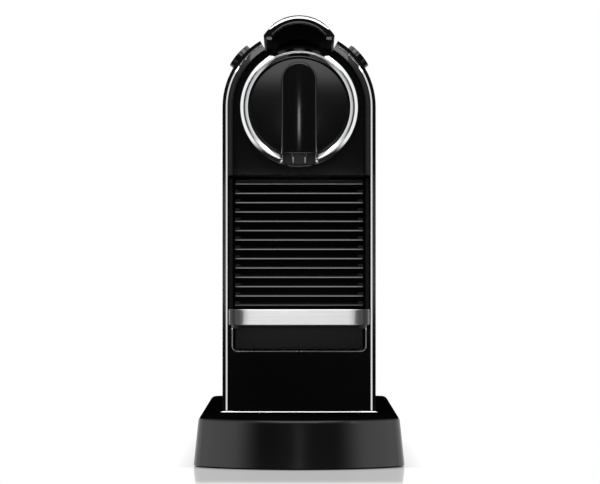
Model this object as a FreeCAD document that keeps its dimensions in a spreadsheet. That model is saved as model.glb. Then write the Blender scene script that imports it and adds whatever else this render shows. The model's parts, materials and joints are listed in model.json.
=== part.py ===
import FreeCAD, Part
import math
import os
import re

import Sketcher

# Pod coffee machine, in millimetres. X runs to the right, Y to the back, Z up.
# The origin is on the standing surface, under the middle of the machine.

SIZES = {
    # Plinth
    "foot_height": 1.0,
    "foot_radius": 7.0,
    "foot_spread": 44.0,
    "foot_front": 112.0,
    "foot_rear": 140.0,
    "plinth_half": 65.0,
    "plinth_top": 31.6,
    "plinth_lean": 6.0,
    "plinth_wall": 3.0,
    "plinth_round": 4.0,
    "nose_reach": 186.0,
    "nose_radius": 80.0,
    "nose_corner": 16.0,
    "tail_reach": 186.0,
    "tail_sag": 20.0,
    "tail_corner": 12.0,
    "deck_rise": 2.2,
    "deck_lip": 1.8,
    "deck_round": 1.1,
    "base_thick": 2.5,
    "screw_radius": 1.5,
    "screw_head": 3.0,
    "screw_short": 1.0,
    "screw_length": 14.0,
    "boss_radius": 4.0,
    "screw_set": 16.0,
    "gland_radius": 6.0,
    "gland_bore": 3.2,
    "gland_height": 15.0,
    "gland_place": 28.0,
    "gland_long": 15.0,
    "gland_flange": 1.8,
    "deck_corner": 3.0,
    # Fits
    "fit_gap": 0.05,
    "part_gap": 0.3,
    # Shell
    "shell_half": 47.6,
    "shell_wall": 2.0,
    "shell_front": 130.0,
    "shell_rear": 112.0,
    "arch_height": 222.3,
    "channel_angle": 30.5,
    "trim_width": 0.9,
    "trim_depth": 4.0,
    "trim_proud": 0.5,
    "back_thick": 3.0,
    "wall_place": 20.0,
    "wall_thick": 3.0,
    # Head front
    "head_bottom": 180.0,
    "floor_thick": 2.0,
    "rim_width": 4.0,
    "rim_set": 0.4,
    "rim_bevel": 2.8,
    "panel_set": 4.5,
    "panel_thick": 3.0,
    "channel_sill": 38.5,
    "ring_outer": 36.8,
    "ring_inner": 31.6,
    "ring_proud": 6.0,
    "disc_edge": 2.4,
    "disc_dome": 0.6,
    "disc_gap": 0.2,
    "ring_round": 2.0,
    "ring_groove": 0.7,
    "ring_bevel": 2.6,
    "spout_half": 11.0,
    "spout_top": 249.8,
    "spout_bottom": 193.0,
    "spout_proud": 13.0,
    "spout_side": 11.5,
    "duct_height": 196.0,
    "duct_radius": 4.4,
    "duct_bore": 3.0,
    "nozzle_half": 4.6,
    "nozzle_low": 186.8,
    "nozzle_deep": 7.0,
    "nozzle_jet": 1.3,
    "nozzle_set": 3.4,
    "cover_start": 24.5,
    "apron_low": 242.0,
    "apron_half": 20.5,
    "seam_angle": 0.15,
    "chute_front": 66.0,
    "chute_rear": 24.0,
    "chute_half": 20.0,
    "chute_rise": 10.0,
    "chute_run": 30.0,
    # Lever and its gears
    "axle_place": -40.0,
    "axle_height": 250.0,
    "pivot_radius": 3.0,
    "hub_radius": 8.0,
    "lever_half": 20.2,
    "lever_wall": 3.3,
    "cap_half": 21.9,
    "cap_corner": 265.8,
    "cap_top": 277.5,
    "cap_thick": 3.2,
    "cap_fall": 6.5,
    "lip_reach": 146.5,
    "lip_low": 264.8,
    "neck_low": 258.4,
    "drum_end": 50.0,
    "knob_place": 15.0,
    "knob_height": 260.8,
    "knob_radius": 2.2,
    "knob_long": 16.0,
    "edge_angle": 42.0,
    "edge_thick": 2.3,
    "edge_proud": 1.2,
    "tooth_module": 1.5,
    "sector_teeth": 26,
    "idler_teeth": 9,
    "gear_inner": 22.0,
    "gear_thick": 3.5,
    "tooth_angle": 25.0,
    "tooth_tip": 1.2,
    "tooth_root": 1.5,
    "backlash": 0.16,
    "idler_pin": 2.0,
    "rack_base": 2.6,
    "rack_ahead": 8,
    "rack_behind": 2,
    "sector_ahead": 1,
    "sector_behind": 7,
    # Brew unit
    "frame_inner": 27.0,
    "frame_wall": 2.5,
    "frame_front": 104.0,
    "frame_top": 255.5,
    "frame_rear": 236.0,
    "frame_step": 91.0,
    "frame_low": 250.0,
    "frame_slope": 22.0,
    "front_wall": 6.0,
    "front_wall_top": 238.0,
    "frame_boss": 1.2,
    "boss_rim": 2.0,
    "rail_high": 3.0,
    "rail_inner": 23.0,
    "rail_front": 92.0,
    "rail_rear": 2.0,
    "chamber_height": 216.0,
    "chamber_radius": 17.5,
    "chamber_wall": 2.5,
    "chamber_rim": 19.5,
    "chamber_front": 93.5,
    "chamber_deep": 36.5,
    "chamber_collar": 4.0,
    "chamber_taper": 3.0,
    "wing_inner": 15.0,
    "needle_disc": 1.5,
    "needle_long": 4.0,
    "needle_ring": 6.0,
    "needle_foot": 1.4,
    "needle_tip": 0.2,
    "seal_thick": 0.5,
    "seal_inner": 15.6,
    "seal_outer": 18.4,
    "wing_thick": 5.0,
    "stem_radius": 4.0,
    "stem_end": 10.0,
    "sleeve_wall": 2.0,
    "plate_radius": 18.5,
    "plate_thick": 3.6,
    "plate_hole": 1.2,
    "plate_ring": 9.0,
    "sleeve_front": 18.0,
    # Buttons
    "button_angle": 49.0,
    "button_place": 107.5,
    "button_wide": 16.5,
    "button_long": 26.0,
    "button_proud": 3.4,
    "button_lip": 1.0,
    "button_stroke": 1.5,
    "button_flange": 1.4,
    "dimple_long": 4.5,
    "dimple_wide": 2.2,
    "dimple_deep": 0.7,
    "switch_tall": 6.0,
    "switch_nib": 0.8,
    "switch_half": 4.0,
    # Cup space, drip tray and capsule container
    "module_half": 44.0,
    "shelf_height": 70.8,
    "shelf_thick": 4.0,
    "shelf_ledge": 2.0,
    "grate_half": 38.0,
    "grate_front": 124.0,
    "grate_rear": 76.0,
    "cheek_rear": 66.0,
    "tray_rear": 8.0,
    "tray_wall": 2.0,
    "fascia_thick": 3.0,
    "horn_half": 41.6,
    "horn_top": 85.0,
    "horn_round": 3.0,
    "edge_bevel": 0.4,
    "cheek_thick": 2.2,
    "cheek_front": 106.0,
    "cheek_top": 178.4,
    "bin_half": 40.6,
    "bin_front": 70.0,
    "bin_rear": 4.0,
    "bin_top": 178.4,
    "bin_wall": 2.0,
    "grip_half": 34.6,
    "grip_low": 72.4,
    "grip_top": 84.0,
    "grip_round": 3.0,
    "grip_deep": 0.8,
    "rib_count": 14,
    "rib_pitch": 5.94,
    "rib_first": 98.8,
    "rib_deep": 3.2,
    "rib_lip": 0.9,
    "rib_tall": 5.4,
    "rib_step": 3.1,
    "rib_step_tall": 1.9,
    "grid_thick": 2.0,
    "grid_pitch": 6.7,
    "grid_slot": 4.4,
    "grid_count": 11,
    "grid_edge": 3.0,
    # Cup support
    "support_half": 41.4,
    "support_neck": 37.6,
    "hinge_place": 112.0,
    "hinge_height": 92.0,
    "hinge_lug": 38.0,
    "hinge_grip": 2.2,
    "hinge_pin": 2.0,
    "hinge_knuckle": 4.2,
    "support_low": 85.5,
    "support_top": 96.2,
    "support_wall": 1.8,
    "support_rear": 118.0,
    "support_rim": 5.4,
    "bar_half": 43.1,
    "bar_low": 87.6,
    "bar_top": 97.1,
    "bar_front": 166.0,
    "bar_corner": 9.0,
    "bar_leg": 150.0,
    "bar_edge": 0.4,
    # Water tank
    "tank_half": 46.4,
    "tank_gap": 1.6,
    "tail_set": 14.0,
    "tank_front": "=shell_rear+tank_gap",
    "tank_rear": "=tail_reach-tail_set",
    "tank_corner": 22.0,
    "tank_floor": 38.0,
    "tank_rim": 244.0,
    "tank_wall": 2.2,
    "lid_gap": 0.4,
    "lid_hinge_out": 3.2,
    "lid_hinge_up": 2.4,
    "lid_pin": 1.5,
    "lid_knuckle": 2.8,
    "lid_knuckle_half": 11.7,
    "lid_ear": 3.0,
    "seat_place": "=(shell_rear+tank_rear)/2",
    "seat_radius": 16.0,
    "seat_rise": 4.4,
    "seat_pin": 2.4,
    "seal_ring": 12.0,
    "seal_radius": 0.9,
    "valve_outer": 9.0,
    "valve_bore": 6.2,
    "valve_ledge": 2.0,
    "valve_throat": 3.4,
    "valve_eye": 2.2,
    "valve_tall": 14.0,
    "plunger_radius": 5.6,
    "plunger_thick": 2.0,
    "plunger_lift": 1.5,
    "plunger_stem": 1.8,
    "plunger_tall": 13.0,
    "spring_wire": 0.6,
    "spring_radius": 4.2,
    "spring_turns": 3,
    "seat_bore": 1.2,
    "spigot_drop": 2.0,
    "hose_low": 14.0,
    # Wet and electric bay
    "pump_x": 20.0,
    "pump_y": 60.0,
    "pump_radius": 16.0,
    "pump_low": 62.0,
    "pump_top": 150.0,
    "coil_half": 21.0,
    "coil_low": 82.0,
    "coil_tall": 46.0,
    "block_left": 8.0,
    "block_wide": 34.0,
    "block_deep": 46.0,
    "block_low": 120.0,
    "block_tall": 80.0,
    "board_half": 34.0,
    "board_low": 160.0,
    "board_tall": 80.0,
    "board_thick": 1.6,
    "board_stand": 5.0,
    "meter_y": 88.0,
    "meter_radius": 12.0,
    "meter_tall": 24.0,
    "hose_radius": 3.0,
    "hose_bend": 9.0,
    "hose_top": 226.0,
    "hose_short": 4.5,
    "lead_in": 34.0,
    "pump_neck": 8.0,
    "pump_end": 10.0,
    "block_fin": 2.0,
    "fin_count": 6,
    "stub_wall": 1.0,
    "stub_set": 3.0,
    "block_rise": 4.0,
}

doc = FreeCAD.newDocument("pod_coffee_machine")
dims = doc.addObject("Spreadsheet::Sheet", "dims")
for row, (name, size) in enumerate(SIZES.items(), 1):
    dims.set("A%d" % row, name)
    dims.set("B%d" % row, str(size))
    dims.setAlias("B%d" % row, name)
doc.recompute()

WORD = re.compile(r"[a-z][a-z_]*")
V = FreeCAD.Vector
NODES = []


# Formulas

def formula(text):
    """Writes a formula of size names the way the document reads it."""
    return WORD.sub(lambda m: "dims." + m.group(0) if m.group(0) in SIZES else m.group(0), str(text))


def number(text):
    """Works a formula out to a plain number."""
    return float(dims.evalExpression(formula(text)))


def bind(thing, prop, text):
    """Ties one property of a document object to the sheet."""
    thing.setExpression(prop, formula(text))


# Sketches. A loop is a list of corners. A corner (x, y) starts a straight edge, and a corner
# (x, y, centre x, centre y, turn) starts an arc, with turn 1 against the clock and -1 with it.

def circle(x, y, radius):
    """A round loop."""
    return ("circle", x, y, radius)


def rectangle(x_low, y_low, x_high, y_high):
    """A loop with four square corners."""
    return [(x_low, y_low), (x_high, y_low), (x_high, y_high), (x_low, y_high)]


def rounded(x_low, y_low, x_high, y_high, radius):
    """A rectangle whose corners are arcs."""
    r = "(%s)" % radius
    left, right = "(%s)+%s" % (x_low, r), "(%s)-%s" % (x_high, r)
    low, high = "(%s)+%s" % (y_low, r), "(%s)-%s" % (y_high, r)
    return [
        (left, y_low), (right, y_low, right, low, 1),
        (x_high, low), (x_high, high, right, high, 1),
        (right, y_high), (left, y_high, left, high, 1),
        (x_low, high), (x_low, low, left, low, 1),
    ]


def slot(half_long, half_wide):
    """A loop with round ends, long along its first axis, about its own middle."""
    run = "(%s)-(%s)" % (half_long, half_wide)
    return [
        ("-(%s)" % run, "-(%s)" % half_wide), (run, "-(%s)" % half_wide, run, "0", 1),
        (run, half_wide), ("-(%s)" % run, half_wide, "-(%s)" % run, "0", 1),
    ]


def tie(sketch, kind, geometry, point, text):
    """Fixes one coordinate of a sketch point to a formula."""
    index = sketch.addConstraint(Sketcher.Constraint(kind, -1, 1, geometry, point, number(text)))
    bind(sketch, "Constraints[%d]" % index, text)


def add_circle(sketch, x, y, radius):
    """Draws a circle that follows the sheet."""
    centre = V(number(x), number(y), 0)
    index = sketch.addGeometry(Part.Circle(centre, V(0, 0, 1), number(radius)), False)
    tie(sketch, "DistanceX", index, 3, x)
    tie(sketch, "DistanceY", index, 3, y)
    size = sketch.addConstraint(Sketcher.Constraint("Radius", index, number(radius)))
    bind(sketch, "Constraints[%d]" % size, radius)


def add_loop(sketch, loop):
    """Draws a closed loop of lines and arcs that follows the sheet."""
    if loop[0] == "circle":
        add_circle(sketch, *loop[1:])
        return
    points = [V(number(corner[0]), number(corner[1]), 0) for corner in loop]
    edges = []
    for place, corner in enumerate(loop):
        start, end = points[place], points[(place + 1) % len(loop)]
        if len(corner) == 2:
            index = sketch.addGeometry(Part.LineSegment(start, end), False)
            edges.append((index, 1, 2))
            continue
        centre = V(number(corner[2]), number(corner[3]), 0)
        first, last = (start, end) if corner[4] > 0 else (end, start)
        turn = math.atan2(first.y - centre.y, first.x - centre.x)
        stop = math.atan2(last.y - centre.y, last.x - centre.x)
        stop += 2 * math.pi if stop <= turn else 0
        whole = Part.Circle(centre, V(0, 0, 1), (start - centre).Length)
        index = sketch.addGeometry(Part.ArcOfCircle(whole, turn, stop), False)
        edges.append((index, 1, 2) if corner[4] > 0 else (index, 2, 1))
    for place, (index, start, end) in enumerate(edges):
        following = edges[(place + 1) % len(edges)]
        sketch.addConstraint(Sketcher.Constraint("Coincident", index, end, following[0], following[1]))
    for place, (index, start, end) in enumerate(edges):
        corner = loop[place]
        tie(sketch, "DistanceX", index, start, corner[0])
        tie(sketch, "DistanceY", index, start, corner[1])
        if len(corner) == 5:
            chord = points[(place + 1) % len(loop)] - points[place]
            level = abs(chord.x) >= abs(chord.y)
            tie(sketch, "DistanceY" if level else "DistanceX", index, 3, corner[3] if level else corner[2])


PLANES = {"x": "YZ_Plane", "y": "XZ_Plane", "z": "XY_Plane"}


def new_body(label):
    """An empty body."""
    return doc.addObject("PartDesign::Body", label)


def new_sketch(body, axis, place, loops, shift=("0", "0")):
    """A sketch square to an axis, at a place along it.

    Its own axes are Y and Z for axis x, X and Z for axis y, and X and Y for axis z. The sketch on
    axis y faces the front, so its offset is turned round.
    """
    plane = [item for item in body.Origin.OriginFeatures if item.Role == PLANES[axis]][0]
    sketch = body.newObject("Sketcher::SketchObject", "outline")
    sketch.AttachmentSupport = [(plane, "")]
    sketch.MapMode = "FlatFace"
    bind(sketch, "AttachmentOffset.Base.x", shift[0])
    bind(sketch, "AttachmentOffset.Base.y", shift[1])
    bind(sketch, "AttachmentOffset.Base.z", "-(%s)" % place if axis == "y" else place)
    for loop in loops:
        add_loop(sketch, loop)
    return sketch


def pad(body, axis, low, high, *loops, lean=None):
    """Adds a prism between two places along an axis."""
    sketch = new_sketch(body, axis, high if axis == "y" else low, loops)
    feature = body.newObject("PartDesign::Pad", "pad")
    feature.Profile = sketch
    bind(feature, "Length", "(%s)-(%s)" % (high, low))
    if lean:
        bind(feature, "TaperAngle", lean)
    return feature


def pocket(body, axis, low, high, *loops):
    """Cuts a prism between two places along an axis."""
    sketch = new_sketch(body, axis, low if axis == "y" else high, loops)
    feature = body.newObject("PartDesign::Pocket", "pocket")
    feature.Profile = sketch
    bind(feature, "Length", "(%s)-(%s)" % (high, low))
    return feature


def turned(body, axis, shift, place, loop, groove=False):
    """Turns a loop about its sketch's first axis, or its second where axis is z.

    For axis y the loop holds (y, radius), for axis x it holds (x, radius) and for axis z it holds
    (radius, z). The shift moves the turning axis.
    """
    plane = {"y": "x", "x": "y", "z": "y"}[axis]
    sketch = new_sketch(body, plane, place, [loop], shift)
    feature = body.newObject("PartDesign::Groove" if groove else "PartDesign::Revolution", "turning")
    feature.Profile = sketch
    feature.ReferenceAxis = (sketch, ["V_Axis" if axis == "z" else "H_Axis"])
    feature.Angle = 360
    return feature


def repeat(body, features, axis, length, count):
    """Repeats features in a row along an axis of the body."""
    role = {"x": "X_Axis", "y": "Y_Axis", "z": "Z_Axis"}[axis]
    line = [item for item in body.Origin.OriginFeatures if item.Role == role][0]
    doc.recompute()
    pattern = body.newObject("PartDesign::LinearPattern", "row")
    pattern.Originals = features
    pattern.Direction = (line, [""])
    bind(pattern, "Length", length)
    bind(pattern, "Occurrences", count)
    body.Tip = pattern
    return pattern


def mirror_features(body, features, role):
    """Repeats features on the other side of a plane of the body."""
    plane = [item for item in body.Origin.OriginFeatures if item.Role == role][0]
    doc.recompute()
    pattern = body.newObject("PartDesign::Mirrored", "other_side")
    pattern.Originals = features
    pattern.MirrorPlane = (plane, [""])
    body.Tip = pattern
    return pattern


def soften(body, feature, kind, size, chosen):
    """Rounds or bevels the edges of a feature that a test picks out."""
    doc.recompute()
    names = []
    for index, edge in enumerate(feature.Shape.Edges, 1):
        if chosen(edge.BoundBox):
            names.append("Edge%d" % index)
    finish = body.newObject("PartDesign::" + kind, kind.lower())
    finish.Base = (feature, names)
    bind(finish, "Radius" if kind == "Fillet" else "Size", size)
    return finish


# Plain solids and how they combine

def rod(name, axis, radius, low, high, across):
    """A cylinder along an axis between two places; across gives its other two coordinates."""
    solid = doc.addObject("Part::Cylinder", name)
    bind(solid, "Radius", radius)
    bind(solid, "Height", "(%s)-(%s)" % (high, low))
    turns = {"x": (V(0, 1, 0), 90), "y": (V(1, 0, 0), -90), "z": (V(0, 0, 1), 0)}
    solid.Placement = FreeCAD.Placement(V(), FreeCAD.Rotation(*turns[axis]))
    places = {"x": (low, across[0], across[1]), "y": (across[0], low, across[1])}
    x, y, z = places.get(axis, (across[0], across[1], low))
    for letter, text in zip("xyz", (x, y, z)):
        bind(solid, "Placement.Base." + letter, text)
    return solid


def block(name, x_low, x_high, y_low, y_high, z_low, z_high):
    """A box between given coordinates."""
    solid = doc.addObject("Part::Box", name)
    for prop, low, high in (("Length", x_low, x_high), ("Width", y_low, y_high), ("Height", z_low, z_high)):
        bind(solid, prop, "(%s)-(%s)" % (high, low))
    for letter, low in zip("xyz", (x_low, y_low, z_low)):
        bind(solid, "Placement.Base." + letter, low)
    return solid


def fuse(name, *solids):
    """Joins solids into one."""
    whole = doc.addObject("Part::MultiFuse", name)
    whole.Shapes = list(solids)
    return whole


def cut(name, base, tool):
    """Takes one solid out of another."""
    rest = doc.addObject("Part::Cut", name)
    rest.Base = base
    rest.Tool = tool
    return rest


def common(name, first, second):
    """Keeps what two solids share."""
    shared = doc.addObject("Part::Common", name)
    shared.Base = first
    shared.Tool = second
    return shared


def group(name, *solids):
    """Keeps several solids together without joining them."""
    whole = doc.addObject("Part::Compound", name)
    whole.Links = list(solids)
    return whole


def mirrored(name, source):
    """The same piece on the other side of the machine."""
    other = doc.addObject("Part::Mirroring", name)
    other.Source = source
    other.Normal = V(1, 0, 0)
    return other


def node(label, thing):
    """Names a finished piece."""
    thing.Label = label
    NODES.append(thing)
    return thing


def pair(name, right):
    """Names a piece on the right and its mirror image on the left."""
    node("right_" + name, right)
    node("left_" + name, mirrored("left_" + name, right))


# Heights and radii that several pieces share
DECK = "(plinth_top+deck_rise)"
SHELL_IN = "(shell_half-shell_wall)"
PANEL = "(shell_half-shell_wall-trim_width-2*fit_gap)"
PANEL_FACE = "(panel_set-shell_front)"
DISC_FACE = "(panel_set-shell_front-disc_edge-disc_dome)"
HEAD_FLOOR = "(head_bottom+floor_thick)"


def on_arch(radius, angle, side=1):
    """The point of the arch at a radius and an angle from the vertical."""
    sign = "" if side > 0 else "-"
    return ("%s(%s)*sin(%s)" % (sign, radius, angle), "arch_height+(%s)*cos(%s)" % (radius, angle))


def arch_band(inner, outer, low, angle):
    """One side of the arch: an upright wall and the shoulder up to an angle from the vertical."""
    return [
        (inner, low), (outer, low),
        (outer, "arch_height", "0", "arch_height", 1), on_arch(outer, angle),
        on_arch(inner, angle) + ("0", "arch_height", -1), (inner, "arch_height"),
    ]


def arch_plate(half, low):
    """The whole arch as a filled outline."""
    return [
        ("-(%s)" % half, low), (half, low),
        (half, "arch_height", "0", "arch_height", 1), ("-(%s)" % half, "arch_height"),
    ]


# Plinth

def plinth_outline(inset):
    """The plinth's plan: straight flanks, a nose of three arcs and a bowed tail with round corners.

    Every arc keeps its centre when the outline is set in.
    """
    tip_y = "(nose_radius-nose_reach)"
    turn_x = "((plinth_half-nose_corner)/(nose_radius-nose_corner))"
    turn_y = "sqrt(1-%s^2)" % turn_x
    flank_x = "(plinth_half-nose_corner)"
    flank_y = "(%s-(nose_radius-nose_corner)*%s)" % (tip_y, turn_y)
    touch_x = "((nose_radius-(%s))*%s)" % (inset, turn_x)
    touch_y = "(%s-(nose_radius-(%s))*%s)" % (tip_y, inset, turn_y)
    tail = "((plinth_half^2+tail_sag^2)/(2*tail_sag))"
    tail_y = "(tail_reach-%s)" % tail
    lean_x = "((plinth_half-tail_corner)/(%s-tail_corner))" % tail
    lean_y = "sqrt(1-%s^2)" % lean_x
    corner_x = "(plinth_half-tail_corner)"
    corner_y = "(%s+(%s-tail_corner)*%s)" % (tail_y, tail, lean_y)
    end_x = "((%s-(%s))*%s)" % (tail, inset, lean_x)
    end_y = "(%s+(%s-(%s))*%s)" % (tail_y, tail, inset, lean_y)
    half = "(plinth_half-(%s))" % inset
    return [
        ("-" + touch_x, touch_y, "0", tip_y, 1),
        (touch_x, touch_y, flank_x, flank_y, 1),
        (half, flank_y), (half, corner_y, corner_x, corner_y, 1),
        (end_x, end_y, "0", tail_y, 1),
        ("-" + end_x, end_y, "-" + corner_x, corner_y, 1),
        ("-" + half, corner_y), ("-" + half, flank_y, "-" + flank_x, flank_y, 1),
    ]


HOLLOW = "(plinth_wall+tan(plinth_lean)*(plinth_top-foot_height))"
SCREW_SPOTS = [(side + "foot_spread", place) for side in ("", "-")
               for place in ("screw_set-foot_front", "foot_rear-screw_set")]
FOOT_SPOTS = [(side + "foot_spread", place) for side in ("", "-") for place in ("-foot_front", "foot_rear")]
PLATE_TOP = "(foot_height+base_thick)"
SPIGOT = "(plinth_top-plinth_wall-spigot_drop)"


def make_base_plinth():
    body = new_body("base_plinth")
    top = pad(body, "z", "foot_height", "plinth_top", plinth_outline("0"), lean="-plinth_lean")
    level = number("plinth_top")
    soften(body, top, "Fillet", "plinth_round", lambda box: box.ZMin > level - 0.01)
    edge = "(shell_half+deck_lip)"
    front, rear = "-(shell_front+deck_lip)", "shell_rear+deck_lip"
    deck = pad(body, "z", "plinth_top-plinth_wall/2", DECK,
               rounded("-" + edge, front, edge, rear, "deck_corner"))
    high = number(DECK)
    soften(body, deck, "Fillet", "deck_round", lambda box: box.ZMin > high - 0.01)
    pocket(body, "z", "foot_height", "plinth_top-plinth_wall", plinth_outline(HOLLOW))
    bosses = [circle(x, y, "boss_radius") for x, y in SCREW_SPOTS]
    pad(body, "z", PLATE_TOP, "plinth_top-plinth_wall/2", *bosses)
    holes = [circle(x, y, "screw_radius+fit_gap") for x, y in SCREW_SPOTS]
    pocket(body, "z", PLATE_TOP, "%s+screw_length" % PLATE_TOP, *holes)
    pocket(body, "z", "plinth_top-plinth_wall", DECK,
           *[circle("0", place, "hose_radius+fit_gap") for place in ("seat_place", "meter_y")])
    pocket(body, "y", "tail_reach-2*gland_long", "tail_reach",
           circle("gland_place", "gland_height", "gland_radius+fit_gap"))
    node("base_plinth", body)


def make_base_plate():
    body = new_body("base_plate")
    pad(body, "z", "foot_height", PLATE_TOP, plinth_outline(HOLLOW + "+fit_gap"))
    holes = [circle(x, y, "screw_radius+fit_gap") for x, y in SCREW_SPOTS]
    pocket(body, "z", "foot_height", PLATE_TOP, *holes)
    sinks = [circle(x, y, "screw_head+fit_gap") for x, y in SCREW_SPOTS]
    pocket(body, "z", "foot_height", "foot_height+base_thick/2", *sinks)
    node("base_plate", body)


def make_base_fixings():
    screws = []
    for spot, (x, y) in enumerate(SCREW_SPOTS):
        sink = "foot_height+base_thick/2"
        head = rod("screw_head_%d" % spot, "z", "screw_head", "foot_height+fit_gap", sink, (x, y))
        shank = rod("screw_shank_%d" % spot, "z", "screw_radius", sink,
                    "%s+screw_length-screw_short" % PLATE_TOP, (x, y))
        screws.append(fuse("screw_%d" % spot, head, shank))
    node("base_screws", group("base_screws", *screws))
    feet = [rod("foot_%d" % spot, "z", "foot_radius", "0", "foot_height", place)
            for spot, place in enumerate(FOOT_SPOTS)]
    node("rubber_feet", group("rubber_feet", *feet))
    body = new_body("cord_gland")
    end = "(tail_reach-gland_flange/2)"
    start = "(%s-gland_long)" % end
    rim = "(%s-2*gland_flange)" % end
    turned(body, "y", ("0", "gland_height"), "gland_place", [
        (start, "gland_bore"), (end, "gland_bore"), (end, "gland_radius-gland_flange/2"),
        (rim, "gland_radius"), (start, "gland_radius")])
    node("cord_gland", body)


# Shell

def shoulder_sketch(body, radius, loop):
    """A sketch square to the button's line on the right shoulder, long along the machine."""
    plane = [item for item in body.Origin.OriginFeatures if item.Role == "YZ_Plane"][0]
    sketch = body.newObject("Sketcher::SketchObject", "outline")
    sketch.AttachmentSupport = [(plane, "")]
    sketch.MapMode = "FlatFace"
    sketch.AttachmentOffset = FreeCAD.Placement(V(), FreeCAD.Rotation(V(-1, 0, 0), 41))
    bind(sketch, "AttachmentOffset.Rotation.Angle", "90-button_angle")
    bind(sketch, "AttachmentOffset.Base.x", "-button_place")
    bind(sketch, "AttachmentOffset.Base.y", "arch_height+(%s)*cos(button_angle)" % radius)
    bind(sketch, "AttachmentOffset.Base.z", "(%s)*sin(button_angle)" % radius)
    add_loop(sketch, loop)
    return sketch


def shoulder_pad(body, low, high, loop):
    """Adds a prism along the button's line between two radii."""
    feature = body.newObject("PartDesign::Pad", "pad")
    feature.Profile = shoulder_sketch(body, low, loop)
    bind(feature, "Length", "(%s)-(%s)" % (high, low))
    return feature


def make_side_shells():
    body = new_body("right_side_shell")
    pad(body, "y", "-shell_front", "shell_rear",
        arch_band(SHELL_IN, "shell_half", DECK, "channel_angle"))
    hole = body.newObject("PartDesign::Pocket", "button_hole")
    hole.Profile = shoulder_sketch(body, "shell_half+shell_wall", slot(
        "button_long/2+part_gap", "button_wide/2+part_gap"))
    bind(hole, "Length", "4*shell_wall+button_wide/4")
    pair("side_shell", body)


def make_trim_strips():
    body = new_body("right_trim_strip")
    outer = "(shell_half-shell_wall-fit_gap)"
    pad(body, "y", "-(shell_front+trim_proud)", "trim_depth-shell_front",
        arch_band(outer + "-trim_width", outer, DECK, "channel_angle"))
    pair("trim_strip", body)


def make_top_cover():
    body = new_body("top_cover")
    angle = "channel_angle-seam_angle"
    start = "(axle_place+cover_start)"
    pad(body, "y", start, "shell_rear", [
        on_arch("shell_half", angle) + ("0", "arch_height", 1), on_arch("shell_half", angle, -1),
        on_arch(SHELL_IN, angle, -1) + ("0", "arch_height", -1), on_arch(SHELL_IN, angle)])
    middle = "(shell_half-shell_wall/2)"
    top = "arch_height+sqrt(%s^2-apron_half^2)" % middle
    pad(body, "y", start, start + "+shell_wall", [
        ("-apron_half", "apron_low"), ("apron_half", "apron_low"),
        ("apron_half", top, "0", "arch_height", 1), ("-apron_half", top)])
    node("top_cover", body)


def make_back_panel():
    body = new_body("back_panel")
    pad(body, "y", "shell_rear-back_thick", "shell_rear",
        arch_plate(SHELL_IN + "-fit_gap", DECK))
    stands = [circle(side + "(board_half-4*back_thick/2)", height, "back_thick")
              for side in ("", "-")
              for height in ("board_low+2*back_thick", "board_low+board_tall-2*back_thick")]
    pad(body, "y", "shell_rear-back_thick-board_stand", "shell_rear-back_thick", *stands)
    node("back_panel", body)


def make_bulkhead():
    body = new_body("bulkhead")
    pad(body, "y", "wall_place", "wall_place+wall_thick", arch_plate(SHELL_IN + "-fit_gap", DECK))
    pocket(body, "y", "wall_place", "wall_place+wall_thick",
           circle("0", "chamber_height", "stem_radius+sleeve_wall+fit_gap"))
    node("bulkhead", body)


# Head front

def make_front_panel():
    body = new_body("front_panel")
    angle = "channel_angle"
    pad(body, "y", PANEL_FACE, PANEL_FACE + "+panel_thick", [
        ("-" + PANEL, "head_bottom"), (PANEL, "head_bottom"),
        (PANEL, "arch_height", "0", "arch_height", 1), on_arch(PANEL, angle),
        on_arch("channel_sill", angle) + ("0", "arch_height", 1), on_arch("channel_sill", angle, -1),
        on_arch(PANEL, angle, -1) + ("0", "arch_height", 1), ("-" + PANEL, "arch_height")])
    inner = "(%s-rim_width)" % PANEL
    rim = pad(body, "y", "rim_set-shell_front", PANEL_FACE, arch_band(inner, PANEL, "head_bottom", angle))
    rims = mirror_features(body, [rim], "YZ_Plane")
    face, edge = number("rim_set-shell_front"), number(inner)
    soften(body, rims, "Chamfer", "rim_bevel", lambda box: box.YMax < face + 0.01 and abs(
        max(-box.XMin, box.XMax) - edge) < 0.01)
    hole = pocket(body, "y", PANEL_FACE, PANEL_FACE + "+panel_thick",
                  circle("0", "duct_height", "duct_radius+fit_gap"))
    level, face = number("head_bottom"), number(PANEL_FACE)
    soften(body, hole, "Chamfer", "edge_bevel", lambda box: box.XLength > 1 and box.YMax < face + 0.01
           and box.YMin > face - 0.01 and box.ZMax < level + 0.01)
    node("front_panel", body)


def make_ring_and_disc():
    ring = new_body("chrome_ring")
    front = "(%s-ring_proud)" % PANEL_FACE
    crest = "ring_outer-ring_round"
    turned(ring, "y", ("0", "arch_height"), "0", [
        (PANEL_FACE, "ring_inner"), (PANEL_FACE, "ring_outer"),
        (front + "+ring_round", "ring_outer", front + "+ring_round", crest, 1), (front, crest),
        (front + "+ring_groove", crest), (front + "+ring_groove", crest + "-ring_groove"),
        (front, crest + "-2*ring_groove"), (front + "+ring_bevel", "ring_inner")])
    node("chrome_ring", ring)
    disc = new_body("front_disc")
    radius = "(ring_inner-disc_gap)"
    ball = "((%s^2+disc_dome^2)/(2*disc_dome))" % radius
    turned(disc, "y", ("0", "arch_height"), "0", [
        (PANEL_FACE, "0"), (PANEL_FACE, radius),
        (PANEL_FACE + "-disc_edge", radius, DISC_FACE + "+" + ball, "0", 1), (DISC_FACE, "0")])
    pocket(disc, "y", DISC_FACE, PANEL_FACE, circle("0", "duct_height", "duct_radius+fit_gap"))
    node("front_disc", disc)


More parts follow.
